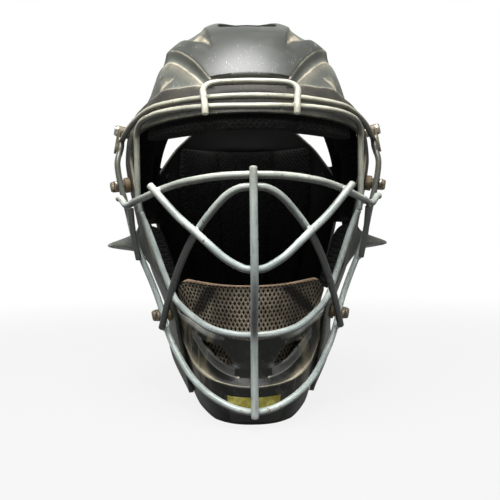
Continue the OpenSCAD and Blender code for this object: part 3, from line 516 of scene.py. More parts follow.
def wire_finish(t):
    """Pale coating on steel, greener on the low bars and creamier on the high ones, rubbed thin in streaks along the
    wire, with stains in patches, darkening where a bar's own field says, painted shade on each wire's underside, and
    rust specks."""
    where = t.place()
    cloud, speck = t.noise(where, 26.0, 6.0, 0.62), t.noise(where, 330.0, 4.0, 0.6)
    rub = t.noise(t.turned(t.lay(), (0, 0, 0), (45, 520, 1)), 1.0, 4.0, 0.6)
    patch = cloud.step(0.3, 0.72)
    colour = coated(patch.blend(rgb(130, 140, 137), rgb(176, 185, 181)),
                    (where.parts()[2].step(0.13, 0.205), patch.blend(rgb(160, 160, 143), rgb(212, 209, 190))),
                    (rub.step(0.5, 0.72) * 0.5, rgb(96, 100, 92)), (rub.step(0.42, 0.3) * 0.35, rgb(206, 206, 188)),
                    (cloud.step(0.55, 0.7) * speck.step(0.5, 0.62) * 0.5, rgb(126, 112, 88)),
                    # the grime field: each bar's own darkening, and painted shade on the underside of every wire
                    (t.field("grime") * 0.9, rgb(32, 33, 30)), (speck.step(0.635, 0.68), rgb(92, 66, 42)))
    return {"Base Color": colour, "Roughness": 0.17 + cloud * 0.14 + speck * 0.1,
            "Normal": t.raised(rub * 0.5 + speck * 0.4, 0.25, 0.0004)}


def stained_finish(t):
    """Plated steel under a brown stain, bare in specks."""
    stain = t.noise(t.place(), 200.0, 4.0, 0.6)
    return {"Base Color": stain.step(0.55, 0.7).blend(rgb(96, 84, 64), rgb(186, 178, 154)),
            "Metallic": stain.step(0.5, 0.7) * 0.8, "Roughness": 0.4 + stain * 0.2,
            "Normal": t.raised(stain, 0.3, 0.0003)}


def steel_finish(t):
    """Plated steel, dulled, with brown stain in patches."""
    where = t.place()
    stain = t.noise(where, 120.0, 5.0, 0.6)
    fine = t.noise(t.turned(where, (0, 40, 0), (900, 200, 900)), 1.0, 2.0)
    return {"Base Color": stain.step(0.5, 0.72).blend(rgb(186, 184, 174), rgb(118, 98, 70)),
            "Metallic": 1 - stain.step(0.55, 0.72) * 0.8, "Roughness": 0.26 + stain * 0.25,
            "Normal": t.raised(fine, 0.2, 0.0002)}


def rubber_finish(t):
    """Brown rubber, paler where it is worn."""
    where = t.place()
    grime = t.noise(where, 110.0, 5.0, 0.6)
    return {"Base Color": grime.step(0.4, 0.7).blend(rgb(104, 88, 62), rgb(156, 138, 104)),
            "Roughness": 0.6 + grime * 0.2, "Normal": t.raised(t.noise(where, 900.0, 2.0), 0.3, 0.0002)}


def mesh_finish(yarn, light, hole, pitch=4.3, row=2.5, size=(1.1, 0.95), dirt=None):
    """Spacer mesh: staggered holes, between a diamond and an oval, in millimetres on the piece's lay, painted near
    black as the shade inside them; round yarns between them, knit ribs, and a painted shadow along the folds."""
    def build(t):
        u, v = (side * 1000 for side in t.lay().parts()[:2])

        def from_hole(shift):
            x = ((u / pitch + shift).past_whole() - 0.5) * pitch
            y = ((v / (2 * row) + shift).past_whole() - 0.5) * (2 * row)
            oval = (x * x * (1 / size[0] ** 2) + y * y * (1 / size[1] ** 2)).root()
            return (abs(x) * (1 / size[0]) + abs(y) * (1 / size[1])) * 0.55 + oval * 0.45

        away = from_hole(0.0).least(from_hole(0.5))
        where = t.place()
        cloud, fibre = t.noise(where, 30.0, 5.0, 0.6), t.noise(where, 1500.0, 2.0)
        colour = (cloud.step(0.35, 0.7) * 0.8 + fibre * 0.3).blend(rgb(*yarn), rgb(*light))
        if dirt:
            colour = (t.noise(where, 14.0, 4.0).step(0.5, 0.68) * 0.7).blend(colour, rgb(*dirt))
        # painted shadow along the folds, and painted shade in the holes
        colour = coated(colour, (t.field("fold").step(0.05, 0.8) * 0.92, rgb(*[v * 0.25 for v in yarn])),
                        (away.step(1.12, 0.88), rgb(*hole)))
        height = away.step(0.9, 1.8) + (u * 2.9 + v * 1.1).wave() * 0.08 + fibre * 0.25
        return {"Base Color": colour, "Roughness": 0.85, "Normal": t.raised(height, 0.8, 0.0009)}
    return build


def bound_edge(t):
    """Brushed binding: short nap, tan going brown."""
    where = t.place()
    cloud, nap = t.noise(where, 60.0, 4.0), t.noise(where, 1300.0, 3.0)
    return {"Base Color": (cloud.step(0.35, 0.65) * 0.7 + nap * 0.3).blend(rgb(104, 86, 70), rgb(154, 132, 108)),
            "Roughness": 0.9, "Normal": t.raised(nap, 0.6, 0.0004)}


def elastic_finish(t):
    """Woven elastic: ribs along the band, crossed by a fine weft."""
    u, v = t.lay().parts()[:2]
    ribs, weft, fluff = (v * 3600).wave(), (u * 6300).wave(), t.noise(t.place(), 900.0, 3.0)
    return {"Base Color": (fluff * 0.6 + ribs * 0.15).blend(rgb(14, 14, 15), rgb(48, 48, 50)), "Roughness": 0.85,
            "Normal": t.raised(ribs * 0.6 + weft * 0.3 + fluff * 0.3, 0.7, 0.0004)}


def strip_finish(t):
    """Two-tone tape without marks: gold above, black below, scuffed."""
    where = t.place()
    worn = t.noise(where, 150.0, 5.0, 0.65)
    colour = coated(worn.step(0.4, 0.66).blend(rgb(120, 112, 30), rgb(176, 170, 92)),
                    (where.parts()[2].step(0.0109, 0.0105), rgb(20, 20, 20)),
                    (worn.step(0.66, 0.70), rgb(226, 224, 206)))
    return {"Base Color": colour, "Roughness": 0.35 + worn * 0.2, "Normal": t.raised(worn, 0.2, 0.0003)}


SHELL = finish_of("worn black shell", shell_finish, IOR=1.49)
# The chin takes the most knocks, so its plastic has gone dull: a weaker shine
CHIN_SHELL = finish_of("chin plastic", shell_finish, Specular_IOR_Level=0.16)
BLACK = finish_of("black moulding", plain_black)
WIRE = finish_of("pale coated wire", wire_finish, IOR=1.5)
STEEL = finish_of("dull plated steel", steel_finish)
STAINED = finish_of("stained steel", stained_finish)
RUBBER = finish_of("brown rubber", rubber_finish)
BLACK_MESH = finish_of("black spacer mesh", mesh_finish((6, 6, 6), (19, 18, 16), (1, 1, 1)), IOR=1.3)
TAN_MESH = finish_of("tan spacer mesh", mesh_finish((68, 60, 50), (150, 138, 119), (6, 5, 4), pitch=4.2, row=2.95,
                                                    size=(1.22, 1.35), dirt=(50, 42, 35)), IOR=1.3)
BINDING = finish_of("tan binding", bound_edge, IOR=1.3)
ELASTIC = finish_of("black elastic", elastic_finish, IOR=1.3)
STRIP = finish_of("gold and black tape", strip_finish)


def on(piece, body, slot, *nodes):
    """The piece rides on a body and stands for CAD nodes; the slot is not used."""
    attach(piece, body)
    if nodes:
        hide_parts(*nodes)
    return piece


# ---------------------------------------------------------------- shell
# The shell's edges on the right half, from the middle down to the rim: angle from the front and drawn level
FACE_EDGE = [(0, 211), (13, 211), (26, 210.5), (39, 210), (51, 209), (60, 205), (63, 195), (63, 178),
             (62, 155), (60, 128), (58, 102), (55.5, 78), (54, 58), (53, 38), (56, 21), (62, 11)]
REAR_EDGE = [(180, 288), (160, 287.5), (142, 283), (129, 269), (121, 246), (117.5, 220), (116.5, 196),
             (114, 172), (108, 150), (99, 134), (90, 125), (87, 112), (84, 90), (79, 62), (73, 34), (66.5, 8)]
# Shares of the way down the side: the crown's end, the flared corner, its reach above and below; then its height
CROWN_PART, FLARE_AT, FLARE_ABOVE, FLARE_BELOW, FLARE = 0.42, 0.679, 0.044, 0.026, 33
# Crown window: half its length, then its middle and half width from the face edge to the rear edge
CROWN_WINDOW = (0.0573, 0.483, 0.0305)
# Side vents: their middles and half width down the side, then middle and half length across it
VENTS_DOWN, VENT_HALF, VENT_ACROSS, VENT_LONG = (0.4963, 0.5573, 0.6184), 0.01526, 10.5 / 19, 2.5 / 19


def edge_curve(edge, t):
    """Map points along an edge drawn as angles and heights on the right half; t from 0 at the middle to 1."""
    pts = at([a for a, _ in edge], level(np.array([z for _, z in edge], float)))
    start = at(-edge[1][0], level(np.array(edge[1][1], float)))
    return smooth_through(np.concatenate([start[None], pts, pts[-1:]]), t * (len(edge) - 1))


def shell_map(side_t, s):
    """Map points and flare of the shell: across from the face edge (s = 0) to the rear edge (s = 1). The flare is a
    blunt hill of power 2.3 round the corner, growing with s^2.4, and two low swells under it."""
    t, side = np.abs(side_t)[None, :], np.sign(side_t)[None, :]
    face, rear = edge_curve(FACE_EDGE, t), edge_curve(REAR_EDGE, t)
    s = s[:, None]
    m = mix(face, rear, s[..., None]) * np.stack([side, np.ones_like(side)], -1)
    reach = np.where(t < FLARE_AT, FLARE_ABOVE, FLARE_BELOW)
    corner = FLARE * np.exp(-np.abs((t - FLARE_AT) / reach) ** 2.3) * s ** 2.4
    return m, corner + 2 * s ** 2 * bump((t - 0.8) / 0.09) + 4 * s ** 2 * (
        ease((t - 0.86) / 0.06) * (1 - ease((t - 0.93) / 0.07)))


def shell_fields(shape, **known):
    """The fields that the black plastic's finish reads at each point, with a plain value for those that a piece
    leaves out: millimetres from the ridge, the panel, the brow band, the notches, the lips, the rims and the
    crescents; and shares of the front, of dust with painted sheen, of wear and of the face's side."""
    plain = {"ridge": 20, "panel": 9, "front": 0, "band": 20, "notch": -9, "lip": 9, "rim": 9, "crescent": 0,
             "dust": 0.7, "wear": 0, "faced": 0}
    return {name: np.broadcast_to(known.get(name, value), shape) for name, value in plain.items()}


def front_shell():
    """The moulded shell: the construction's grid made finer, denser over the crown, its windows rounded."""
    crown, arm = 122, 84
    t = np.concatenate([np.linspace(0, CROWN_PART, crown + 1)[1:], np.linspace(CROWN_PART, 1, arm + 1)[1:]])
    t = np.concatenate([-t[::-1], [0], t])
    s = np.linspace(0, 1, 115)
    m, flare = shell_map(t, s)
    high = relief(m) + flare
    down, back = np.abs(middles(t)), middles(s)[:, None]
    half, middle, wide = CROWN_WINDOW
    kept = ~opening(down / half, (back - middle) / wide, 6, 4)
    for middle in VENTS_DOWN:
        kept &= ~opening((down - middle) / VENT_HALF, (back - VENT_ACROSS) / VENT_LONG, 3, 8)
    p, q = np.abs(m[..., 0]), m[..., 1]
    panel, ridge, band = lookup(q, PANEL_SIDE), lookup(q, RIDGE_LINE), lookup(p, BAND_LINE)
    inside, lip = np.full(p.shape, -9.0), np.full(p.shape, 9.0)
    for shape in (CROWN_NOTCH, TEMPLE_NOTCH):
        u, past, r = notch_fan(p, q, shape)
        far = r - shape[4]
        within = np.minimum(np.minimum(u * r * np.radians(shape[3] - shape[2]), -past), -far / 3)
        inside = np.maximum(inside, within)
        lip = np.where((u > 0.5) & (far < 8), np.minimum(lip, np.hypot(past, np.maximum(far, 0) / 4)), lip)
    down, back = np.abs(t), s[:, None]
    temple = ease((0.06 - back) / 0.03) * ease((down - 0.4) / 0.04) * ease((0.66 - down) / 0.04)
    fields = shell_fields(
        p.shape, ridge=np.clip(p - ridge, -40, 40), panel=np.minimum(panel - p, foot_of(p) - q),
        front=ease((q - 30) / 25) * ease((109 - q) / 4), band=q - band, notch=inside, lip=lip,
        rim=np.minimum(back, 1 - back) * 140, faced=1 - ease((p - 88) / 16),
        # share of dust and painted sheen: raised towards the crown's top, where the overhead light glances off the
        # satin plastic
        dust=0.8 + 1.3 * ease((66 - q) / 40) * ease((q + 40) / 30) - 0.5 * ease((q - 190) / 60),
        wear=np.maximum(ease((0.4 - back) / 0.3) * ease((q - 215) / 30), temple))
    ob = walled("front_shell_skin", skin(m, high), skin(m, high - SHELL_T), SHELL, kept, m, fields, 1.0, 60)
    on(ob, "helmet", "shell_plastic", "front_shell")


front_shell()

# ---------------------------------------------------------------- chin guard
# Level lines of the guard from the rim up: share of the way to its end, and height
GUARD_LINES = [
    [(0, 0), (0.5, 0), (0.75, 4), (1, 11)],
    [(0, 9), (0.5, 11), (0.8, 20), (1, 32)],
    [(0, 24.8), (0.27, 26.5), (0.39, 28.2), (0.53, 31.5), (0.62, 34.5), (0.7, 39.2), (0.76, 46), (1, 66)],
    [(0, 27.5), (0.27, 29), (0.39, 30.8), (0.53, 34.2), (0.62, 37.5), (0.7, 42.5), (0.76, 49), (1, 68)],
    [(0, 30.5), (0.17, 31.5), (0.3, 34), (0.42, 38.2), (0.54, 45.5), (0.62, 53.5), (0.8, 64), (1, 71)],
    [(0, 36), (0.2, 37.2), (0.35, 41), (0.46, 46.2), (0.56, 53.5), (0.65, 60), (0.8, 67), (1, 73.5)],
    [(0, 43), (0.2, 42), (0.25, 46.5), (0.34, 50.8), (0.44, 53.2), (0.56, 55.5), (0.65, 62), (0.8, 69.5), (1, 76)],
    [(0, 55), (0.45, 59.2), (0.57, 62), (0.65, 65.5), (0.85, 73), (1, 79)]]
# Setback of each line in the middle; the angle that the guard reaches on each side, and its outer face
GUARD_INSET = np.array([2, 0, 0, 3, 5.2, 7.25, 9.3, 11])
GUARD_SPAN, GUARD_OFF = 66, -(SHELL_T + SEAT)
# The crescent windows: their middle and half length, and where their lower lips run
CRESCENT_AT, CRESCENT_HALF, CRESCENT_LIPS = 0.385, 0.172, (0.12, 0.66)


def fine_line(table, u):
    """Smooth curve through a table of places and heights: cubic pieces that share their slopes at the places."""
    x, y = np.array(table, float).T
    slope = np.gradient(y, x)
    k = np.clip(np.searchsorted(x, u, "right") - 1, 0, len(x) - 2)
    h = x[k + 1] - x[k]
    f = (u - x[k]) / h
    return ((1 + 2 * f) * (1 - f) ** 2 * y[k] + f * (1 - f) ** 2 * h * slope[k]
            + f * f * (3 - 2 * f) * y[k + 1] + f * f * (f - 1) * h * slope[k + 1])


def chin_guard():
    """The moulded chin: level lines from the rim up to the leaning top edge, each with its own setback, smoothed."""
    u = np.linspace(-1, 1, 221)
    au = np.abs(u)
    heights = np.stack([level(np.maximum(fine_line(line, au), 0)) for line in GUARD_LINES])
    inset = GUARD_INSET[:, None] * np.maximum(0, 1 - (au / 0.8) ** 3)
    k = np.concatenate([np.linspace(0, 2, 15), np.linspace(2, 3, 5)[1:], np.linspace(3, 5, 11)[1:],
                        np.linspace(5, 6, 9)[1:], np.linspace(6, 7, 12)[1:]])[:, None]
    i = np.clip(np.floor(k[:, 0]).astype(int), 0, 6)
    f = k - i[:, None]
    z = mix(heights[i], heights[i + 1], f)
    back = mix(inset[i], inset[i + 1], np.where(i[:, None] < 2, ease(f), f))
    lip = 1.4 * np.exp(-((k - 5) / 0.35) ** 2) * bump((au - 0.36) / 0.26) * (k <= 5.4)
    off = GUARD_OFF - back + lip
    m = at(GUARD_SPAN * u, z)
    kept = ~opening((middles(au) - CRESCENT_AT) / CRESCENT_HALF, (middles(k) - 5.5) / 0.5, 2.2, 3)
    tip, over = z - heights[4], z - heights[2] - 1
    lips = (au > CRESCENT_LIPS[0]) & (au < CRESCENT_LIPS[1])
    fields = shell_fields(
        z.shape, ridge=over * np.where(over > 0, 2.2, 1) / (0.35 + 1.9 * ease((au - 0.25) / 0.35)), front=1,
        lip=np.where(lips, np.abs(tip), 9), rim=heights[7] - z + 4 * (au < 0.3), dust=0.2,
        crescent=np.minimum(tip, GUARD_SPAN * (0.16 - np.abs(au - 0.42)) + 6) * (k < 5.05),
        wear=ease((au - 0.3) / 0.3) * ease((z - 12) / 12))
    ob = walled("chin_guard_skin", skin(m, off)[::-1], skin(m, off - GUARD_T)[::-1], CHIN_SHELL, kept[::-1], m[::-1],
                {name: values[::-1] for name, values in fields.items()}, 0.9, 50)
    on(ob, "helmet", "shell_plastic", "chin_guard")


def chin_tape():
    """A thin strip laid on the front of the chin guard, between its lowest lines."""
    u, k = np.linspace(-0.255, 0.255, 48), np.linspace(0.23, 1.61, 16)
    heights = np.stack([level(fine_line(line, np.abs(u))) for line in GUARD_LINES])
    i = np.floor(k).astype(int)
    m = at(GUARD_SPAN * u, mix(heights[i], heights[i + 1], (k - i)[:, None]))[::-1]
    off = (GUARD_OFF - mix(GUARD_INSET[i], GUARD_INSET[i + 1], ease(k - i)))[::-1, None]
    tape = walled("chin_tape", skin(m, off + 0.22), skin(m, off - 0.3), STRIP, uv=m, bevel=0)
    on(tape, "helmet", "trim_plastic")


chin_guard()
chin_tape()

# ---------------------------------------------------------------- head plate
# The plate's edge from the rim up: half width and drawn level
PLATE_EDGE = [(43, 5), (56, 38), (68, 75), (78, 112), (86, 146), (90, 172), (86, 190), (78, 206), (69, 220),
              (58, 232)]


def plate_map(u, v):
    """Map points of the head plate: u across from -1 to 1, v from the lower rim to the top edge."""
    v, u = v[:, None], u[None]
    edge = smooth_through([PLATE_EDGE[0]] + PLATE_EDGE + [PLATE_EDGE[-1]], v * 9)
    wide, z_edge = edge[..., 0], level(edge[..., 1])
    z = mix(mix(0, 262, v ** 0.97), z_edge, np.abs(u) ** (2 + 2 * (1 - v)))
    ring = sine(90 * np.minimum(map_r(z_edge) / MAP_R, 1))
    reach = (wide / (form_half(z_edge) * ring)) ** ((2 + SQUARE * drop(z_edge)) / 2)
    return at(180 - np.degrees(np.arcsin(np.minimum(1, reach))) * u, z)


def plate_relief(u, v):
    """The raised middle, 3 mm high."""
    return 3 * ease((0.5 - np.abs(u)) / 0.12) * ease((v - 0.2) / 0.08) * ease((0.86 - v) / 0.06)


def head_plate():
    """The plate behind the head, with a raised middle and two columns of three vents."""
    u, v = np.linspace(1, -1, 121), np.linspace(0, 1, 121)[:, None]
    m = plate_map(u, v[:, 0])
    off = plate_relief(u, v)
    across, up = np.abs(middles(u)) * 10, middles(v) * 15
    kept = np.ones((120, 120), bool)
    for row in (4, 7, 10):
        kept &= ~opening((across - 3.5) / 1.5, (up - row - 0.5) / 0.5, 6, 3)
    rim = np.minimum((1 - np.abs(u)) * 80, (1 - v) * 260)
    step = np.where((v > 0.22) & (v < 0.86), np.abs(np.abs(u) - 0.5) * 80, 9)
    ob = walled("head_plate_skin", skin(m, off), skin(m, off - PLATE_T), SHELL, kept, m,
                shell_fields(rim.shape, lip=step + 0.5, rim=rim), 0.9, 50)
    on(ob, "head_plate", "shell_plastic", "head_plate")


head_plate()

# ---------------------------------------------------------------- face cage
# Each bar's wire, and the right half of its route: x, y, drawn level, and how many half wires it stands off the
# weld plane (1 outside it, -1 inside)
ROUTES = {
    "eye_port_bar": (BROW_WIRE, [
        (0, -131, 213, -1), (22.5, -129, 213.3, -1), (45, -120, 214, -1), (63.5, -108, 214, -1),
        (76, -94, 213, -1), (82, -85, 210.5, -1), (84.8, -80, 205, -1), (85.3, -77.5, 197, -1),
        (85.3, -76.5, 180, -1), (85.2, -76, 162, -1), (84.6, -75.8, 153, -1), (84, -75.6, 147.4, -1)]),
    "brow_loop_bar": (BROW_WIRE, [
        (0, -120.4, 231.4, 1), (20, -118.6, 231.2, 1), (27.5, -118.6, 229.6, 1), (30.8, -120.2, 225.5, 1),
        (30.2, -123.7, 219.5, 1), (29.6, -127.9, 213, 1), (29.4, -129, 207.5, 1)]),
    "middle_bar": (FRONT_WIRE, [
        (0, -155, 164.5, -1), (21.5, -152, 164, -1), (43, -142, 162, -1), (58.5, -127.5, 159.5, -1),
        (68.5, -114.5, 157.5, -1), (77, -99.5, 156, -1), (84.5, -82.5, 154.7, -0.18), (89, -75.5, 153.2, -0.2),
        (94, -71, 152.7, -0.5), (97.8, -68, 155.3, -1), (100.2, -65.2, 158.3, -1), (102.6, -62.6, 158.6, -1)]),
    "v_bar": (FRONT_WIRE, [
        (0, -154.6, 105.5, -1), (8, -154.2, 107, -1), (19, -151.8, 113.5, -0.5), (29, -146.5, 123, 0.5),
        (35.5, -141.2, 129.5, 1), (48.5, -132.4, 141.5, 1), (66, -120.9, 161.5, 1)]),
    "arch_bar": (FRONT_WIRE, [
        (0, -155, 157, -1), (9, -154, 156.3, -1), (18.5, -151, 151, -1), (30, -144.5, 139, -1),
        (36.5, -140.3, 130.5, -1), (42.2, -134.1, 122.5, -1), (50, -121.9, 108, -1), (57.5, -106, 91, -1),
        (62.5, -93, 79, -1), (67.5, -80.3, 61.5, -0.7)]),
    "centre_bar": (FRONT_WIRE, [
        (0, -155, 168.5, 1), (0, -155.2, 140, 1), (0, -154.8, 105, 1), (0, -147, 84, 1),
        (0, -133.5, 62, 1), (0, -132, 40, 1), (0, -131.5, 9, 1)]),
    "inner_jaw_bar": (JAW_WIRE, [
        (0, -133.3, 62, -1), (14, -132.5, 63, -1), (30, -125, 66.5, -1), (44.5, -109, 74, -1),
        (55.5, -92, 82, -1), (61.5, -82, 91.5, -1), (68.5, -77, 108, -1), (75.5, -74.5, 127, -1),
        (80.3, -74, 139, -1), (83.4, -75.5, 146.5, -1)]),
    "outer_jaw_bar": (JAW_WIRE, [
        (0, -131.5, 11, -1), (14, -130.5, 14, -1), (30, -122.5, 21, -1), (44.5, -105.5, 30.5, -1),
        (58, -86, 47, -1), (65, -76.5, 61, -1), (70.5, -70, 78, -1), (77, -66, 94.5, -1),
        (85.5, -63, 114, -1), (90.5, -62, 127, -1), (96, -60, 150, -1), (101.5, -57, 169.5, -1),
        (104.3, -54.5, 186, -1), (103, -51, 196, -1)]),
    "side_bars": (BROW_WIRE, [(88.6, -75.2, 149.6, 0), (87.6, -71.5, 132, 0), (84.6, -66.8, 112, 0)]),
}


def bar_route(drawn, d, steps=12):
    """Smooth path through a drawn route, each point stood off the weld plane by half the wire."""
    p = np.array(drawn, float)
    c = np.stack([p[:, 0], p[:, 1], level(p[:, 2])], -1)
    away = unit(c * [(2 * BROW / SHELL_W) ** 2, 1, 0])
    c = c + away * p[:, 3:] * d / 2
    return smooth_through(np.concatenate([c[:1], c, c[-1:]]), np.linspace(0, len(c) - 1, (len(c) - 1) * steps + 1))


def both_sides(half):
    """A whole bar from its right half, which starts in the middle."""
    return np.concatenate([mirrored(half)[::-1], half[1:]])


def wire_darkening(name, z):
    """Share of darkening along a bar: the arch bar's legs and the side bars are dark, the outer jaw bar is dark
    above, and the bars round the brow are a little dirty."""
    return {"arch_bar": ease((134 - z) / 8), "side_bars": 0.9, "outer_jaw_bar": ease((z - 140) / 12) * 0.9,
            "eye_port_bar": 0.2 + ease((205 - z) / 8) * 0.2, "upper_brow_bar": 0.2, "brow_loop_bar": 0.12,
            "centre_bar": 0.1}.get(name, 0)


# Each bar's wire and whole path, as the cage is made
PATHS = {}


def face_cage():
    """Every bar of the cage as a round tube; the upper brow bar follows the shell's brow at BROW_GAP."""
    a = np.linspace(-68.6, 68.6, 161)
    brow = at(a, level(219.5 - 17.5 * ease((np.abs(a) - 38) / 40)))
    PATHS["upper_brow_bar"] = (BROW_WIRE, skin(brow, BROW_GAP + BROW_WIRE / 2))
    for name, (d, drawn) in ROUTES.items():
        half = bar_route(drawn, d)
        PATHS[name] = (d, half if name in ("centre_bar", "side_bars") else both_sides(half))
    for name, (d, path) in PATHS.items():
        pieces = {name + "_wire": path}
        if name == "side_bars":
            pieces = {"side_bar_right": path, "side_bar_left": mirrored(path)[::-1]}
        for piece, run in pieces.items():
            on(tube(piece, run, d / 2, WIRE, grime=wire_darkening(name, run[:, 2])), "helmet", "coated_wire", name)


def end_joints():
    """Dark joint on each side where the upper brow bar's end meets the top of the outer jaw bar: a short sleeve
    along the line between the two ends."""
    brow, jaw = PATHS["upper_brow_bar"][1], PATHS["outer_jaw_bar"][1]
    for side, k in (("left", 0), ("right", -1)):
        line = mix(jaw[k], brow[k], np.linspace(-0.25, 1.1, 12)[:, None])
        radius = 2.5 - 0.25 * np.cos(np.linspace(0, 2 * np.pi, 12))
        on(tube("end_joint_" + side, line, radius, WIRE, grime=1), "helmet", "coated_wire")


def touches(first, second):
    """Where two bars touch, on the left, on the right and at the middle: the nearest points and their directions."""
    (d1, p1), (d2, p2) = first, second
    gap = np.linalg.norm(p1[:, None] - p2[None], axis=-1)
    for low, high in ((4, 999), (-999, -4), (-4, 4)):
        near = np.where(((p1[:, 0] > low) & (p1[:, 0] <= high))[:, None], gap, np.inf)
        a, b = np.unravel_index(np.argmin(near), near.shape)
        if near[a, b] <= (d1 + d2) / 2 + 0.7:
            yield p1[a], p2[b], unit(np.gradient(p1, axis=0))[a], unit(np.gradient(p2, axis=0))[b]


def welds():
    """A small saddle of metal where two bars touch: an ellipsoid on the line between their middles, long along
    the bisector of the bars."""
    long, wide, high = 2.9, 2.2, 1.5
    w, h = np.meshgrid(np.linspace(0, 2 * np.pi, 17)[:-1], np.linspace(0, np.pi, 9)[1:-1])
    ball = np.stack([np.sin(h) * np.cos(w), np.sin(h) * np.sin(w), np.cos(h)], -1).reshape(-1, 3)
    ball = np.concatenate([ball, [[0, 0, 1], [0, 0, -1]]])
    quads, triangles = ring_faces(7, 16, flip=True)
    saddles, names = [], sorted(PATHS)
    for k, name in enumerate(names):
        for other in names[k + 1:]:
            for here, there, t1, t2 in touches(PATHS[name], PATHS[other]):
                across = unit(there - here)
                along = unit(t1 + t2 * (1 if t1 @ t2 > 0 else -1))
                axes = np.stack([long * along, wide * np.cross(across, along), high * across])
                saddles.append((here + there) / 2 + ball @ axes)
    start = len(ball) * np.arange(len(saddles))[:, None, None]
    ob = make_mesh("cage_welds", np.concatenate(saddles), quads + start, WIRE, triangles=triangles + start)
    on(ob, "helmet", "coated_wire")


face_cage()
end_joints()
welds()

# ---------------------------------------------------------------- pads
def fold_at(a, b):
    """Soft folds of the chin pad: one from the top edge down towards each end, fading out; the right one leans
    more."""
    away = np.abs(a) - np.where(a < 0, 0.47 + 0.5 * (b + 1), 0.4 + 0.74 * (b + 1))
    return np.exp(-(away / 0.1) ** 2) * ease((b + 1) / 0.08) * (1 - ease((b + 0.5) / 0.4))


def cushion_grid(place, back, t, na, nb, grooves, rear, swell, folded):
    """Crowned pad over a patch of map points: flat on its seat; its face is back + t x puff, where puff falls to
    0.3 (more at a firm rear edge) at the borders by a fifth-power curve and dips along each sewn channel."""
    a, b = np.broadcast_arrays(np.linspace(-1, 1, na + 1)[None], np.linspace(-1, 1, nb + 1)[:, None])
    thin = 0.3 + rear * ease(a)
    puff = thin + (1 - thin) * np.sqrt((1 - np.abs(a) ** 5) * (1 - np.abs(b) ** 5))
    for g in grooves:
        puff = puff - 0.35 * np.exp(-((a - g) / 0.045) ** 2)
    if folded:
        puff = puff - 0.3 * fold_at(a, b) + 0.1 * bump((np.abs(a) - 0.84) / 0.16) * bump((b + 0.75) / 0.4)
    m = place(a, b)
    seat = back(a, b)
    return m, skin(m, -seat - t * puff * mix(swell[0], swell[1], share(b))), skin(m, -seat), a, b


def share(b):
    """Share of the way across a patch, from 0 at -1 to 1 at 1."""
    return (1 + b) / 2


def shell_inside(m):
    """Depth of the shell's inner face under the form."""
    return SHELL_T + SEAT - np.minimum(0, relief(m))


# Where each pad lies: map points of a patch; a and b run from -1 to 1 along it and down it
def forehead_place(a, b):
    return at(50 * a, level(mix(201, 221 + 20 * ease((0.42 - np.abs(a)) / 0.25), share(-b))))


def ear_place(a, b):
    return at(mix(75, 106, share(a)), level(mix(230, 143, share(b))))


def jaw_place(a, b):
    return at(mix(mix(64, 61, share(b)), mix(80, 70, share(b)), share(a)), level(mix(138, 88, share(b))))


def crown_place(a, b):
    return np.stack([17 + 11 * a, 38 + 42 * b], -1)


def plate_pad_place(a, b):
    return at(180 + 42 * a, level(mix(222, 62, share(b))))


def chin_high(a, b):
    """Height on the chin pad: its top edge rises towards the ends and its upper corners are rounded."""
    return mix(92 + 5 * a ** 2 - 12 * (np.maximum(0, np.abs(a) - 0.8) / 0.2) ** 2.5, 26, share(b))


def chin_place(a, b):
    return at(54 * a, chin_high(a, b))


def chin_back(a, b):
    """Depth of the chin pad's seat: the guard's wall and its leaning setback."""
    lean = np.maximum(0, 1 - (np.abs(a) * 54 / GUARD_SPAN / 0.8) ** 3)
    return SHELL_T + GUARD_T + 2 * SEAT + lean * 11 * ease((chin_high(a, b) - 14) / 40 + 0.12)


# Every cushion made, for the filling
CUSHIONS = []


def pad(name, place, back, t, na, nb, node, material=BLACK_MESH, body="helmet", slot="mesh_pad", grooves=(),
        window=None, mirror=False, swell=(1, 1), rear=0, folded=False):
    """A cushion of t millimetres on the patch that place gives, back millimetres under the form, with na x nb cells.
    Its lay is measured along the skin from the middle of each row and down each column. Its free field says how far
    the filling may move a point: nothing at the borders, the channels and the window."""
    m, face, seat, a, b = cushion_grid(place, back, t, na, nb, grooves, rear, swell, folded)
    run = skin(m)
    u = np.pad(np.cumsum(np.linalg.norm(np.diff(run, axis=1), axis=-1), 1), ((0, 0), (1, 0)))
    v = np.pad(np.cumsum(np.linalg.norm(np.diff(run, axis=0), axis=-1), 0), ((1, 0), (0, 0)))
    lay = np.stack([u - u[:, na // 2:na // 2 + 1], v], -1)[:, ::-1]
    free, kept = bump(np.abs(a) ** 3) * bump(np.abs(b) ** 3), np.ones((nb, na), bool)
    for g in grooves:
        free = free * (1 - np.exp(-((a - g) / 0.07) ** 2))
    if window:
        kept = ~opening(middles(a[0]) / window[0], middles(b)[:, :1] / window[1], 4, 4)
        free = free * ease(((np.abs(a) / window[0]) ** 4 + (np.abs(b) / window[1]) ** 4 - 1) / 2)
    fold = fold_at(a, b) * folded
    free = free * (1 - 0.6 * fold)
    if mirror:
        face, seat = mirrored(face), mirrored(seat)
    else:
        face, seat, kept, fold, free = (grid[:, ::-1] for grid in (face, seat, kept, fold, free))
    ob = walled(name, face, seat, material, kept, lay, {"fold": fold, "free": free}, 1.6, 70)
    on(ob, body, slot, node)
    CUSHIONS.append(ob)


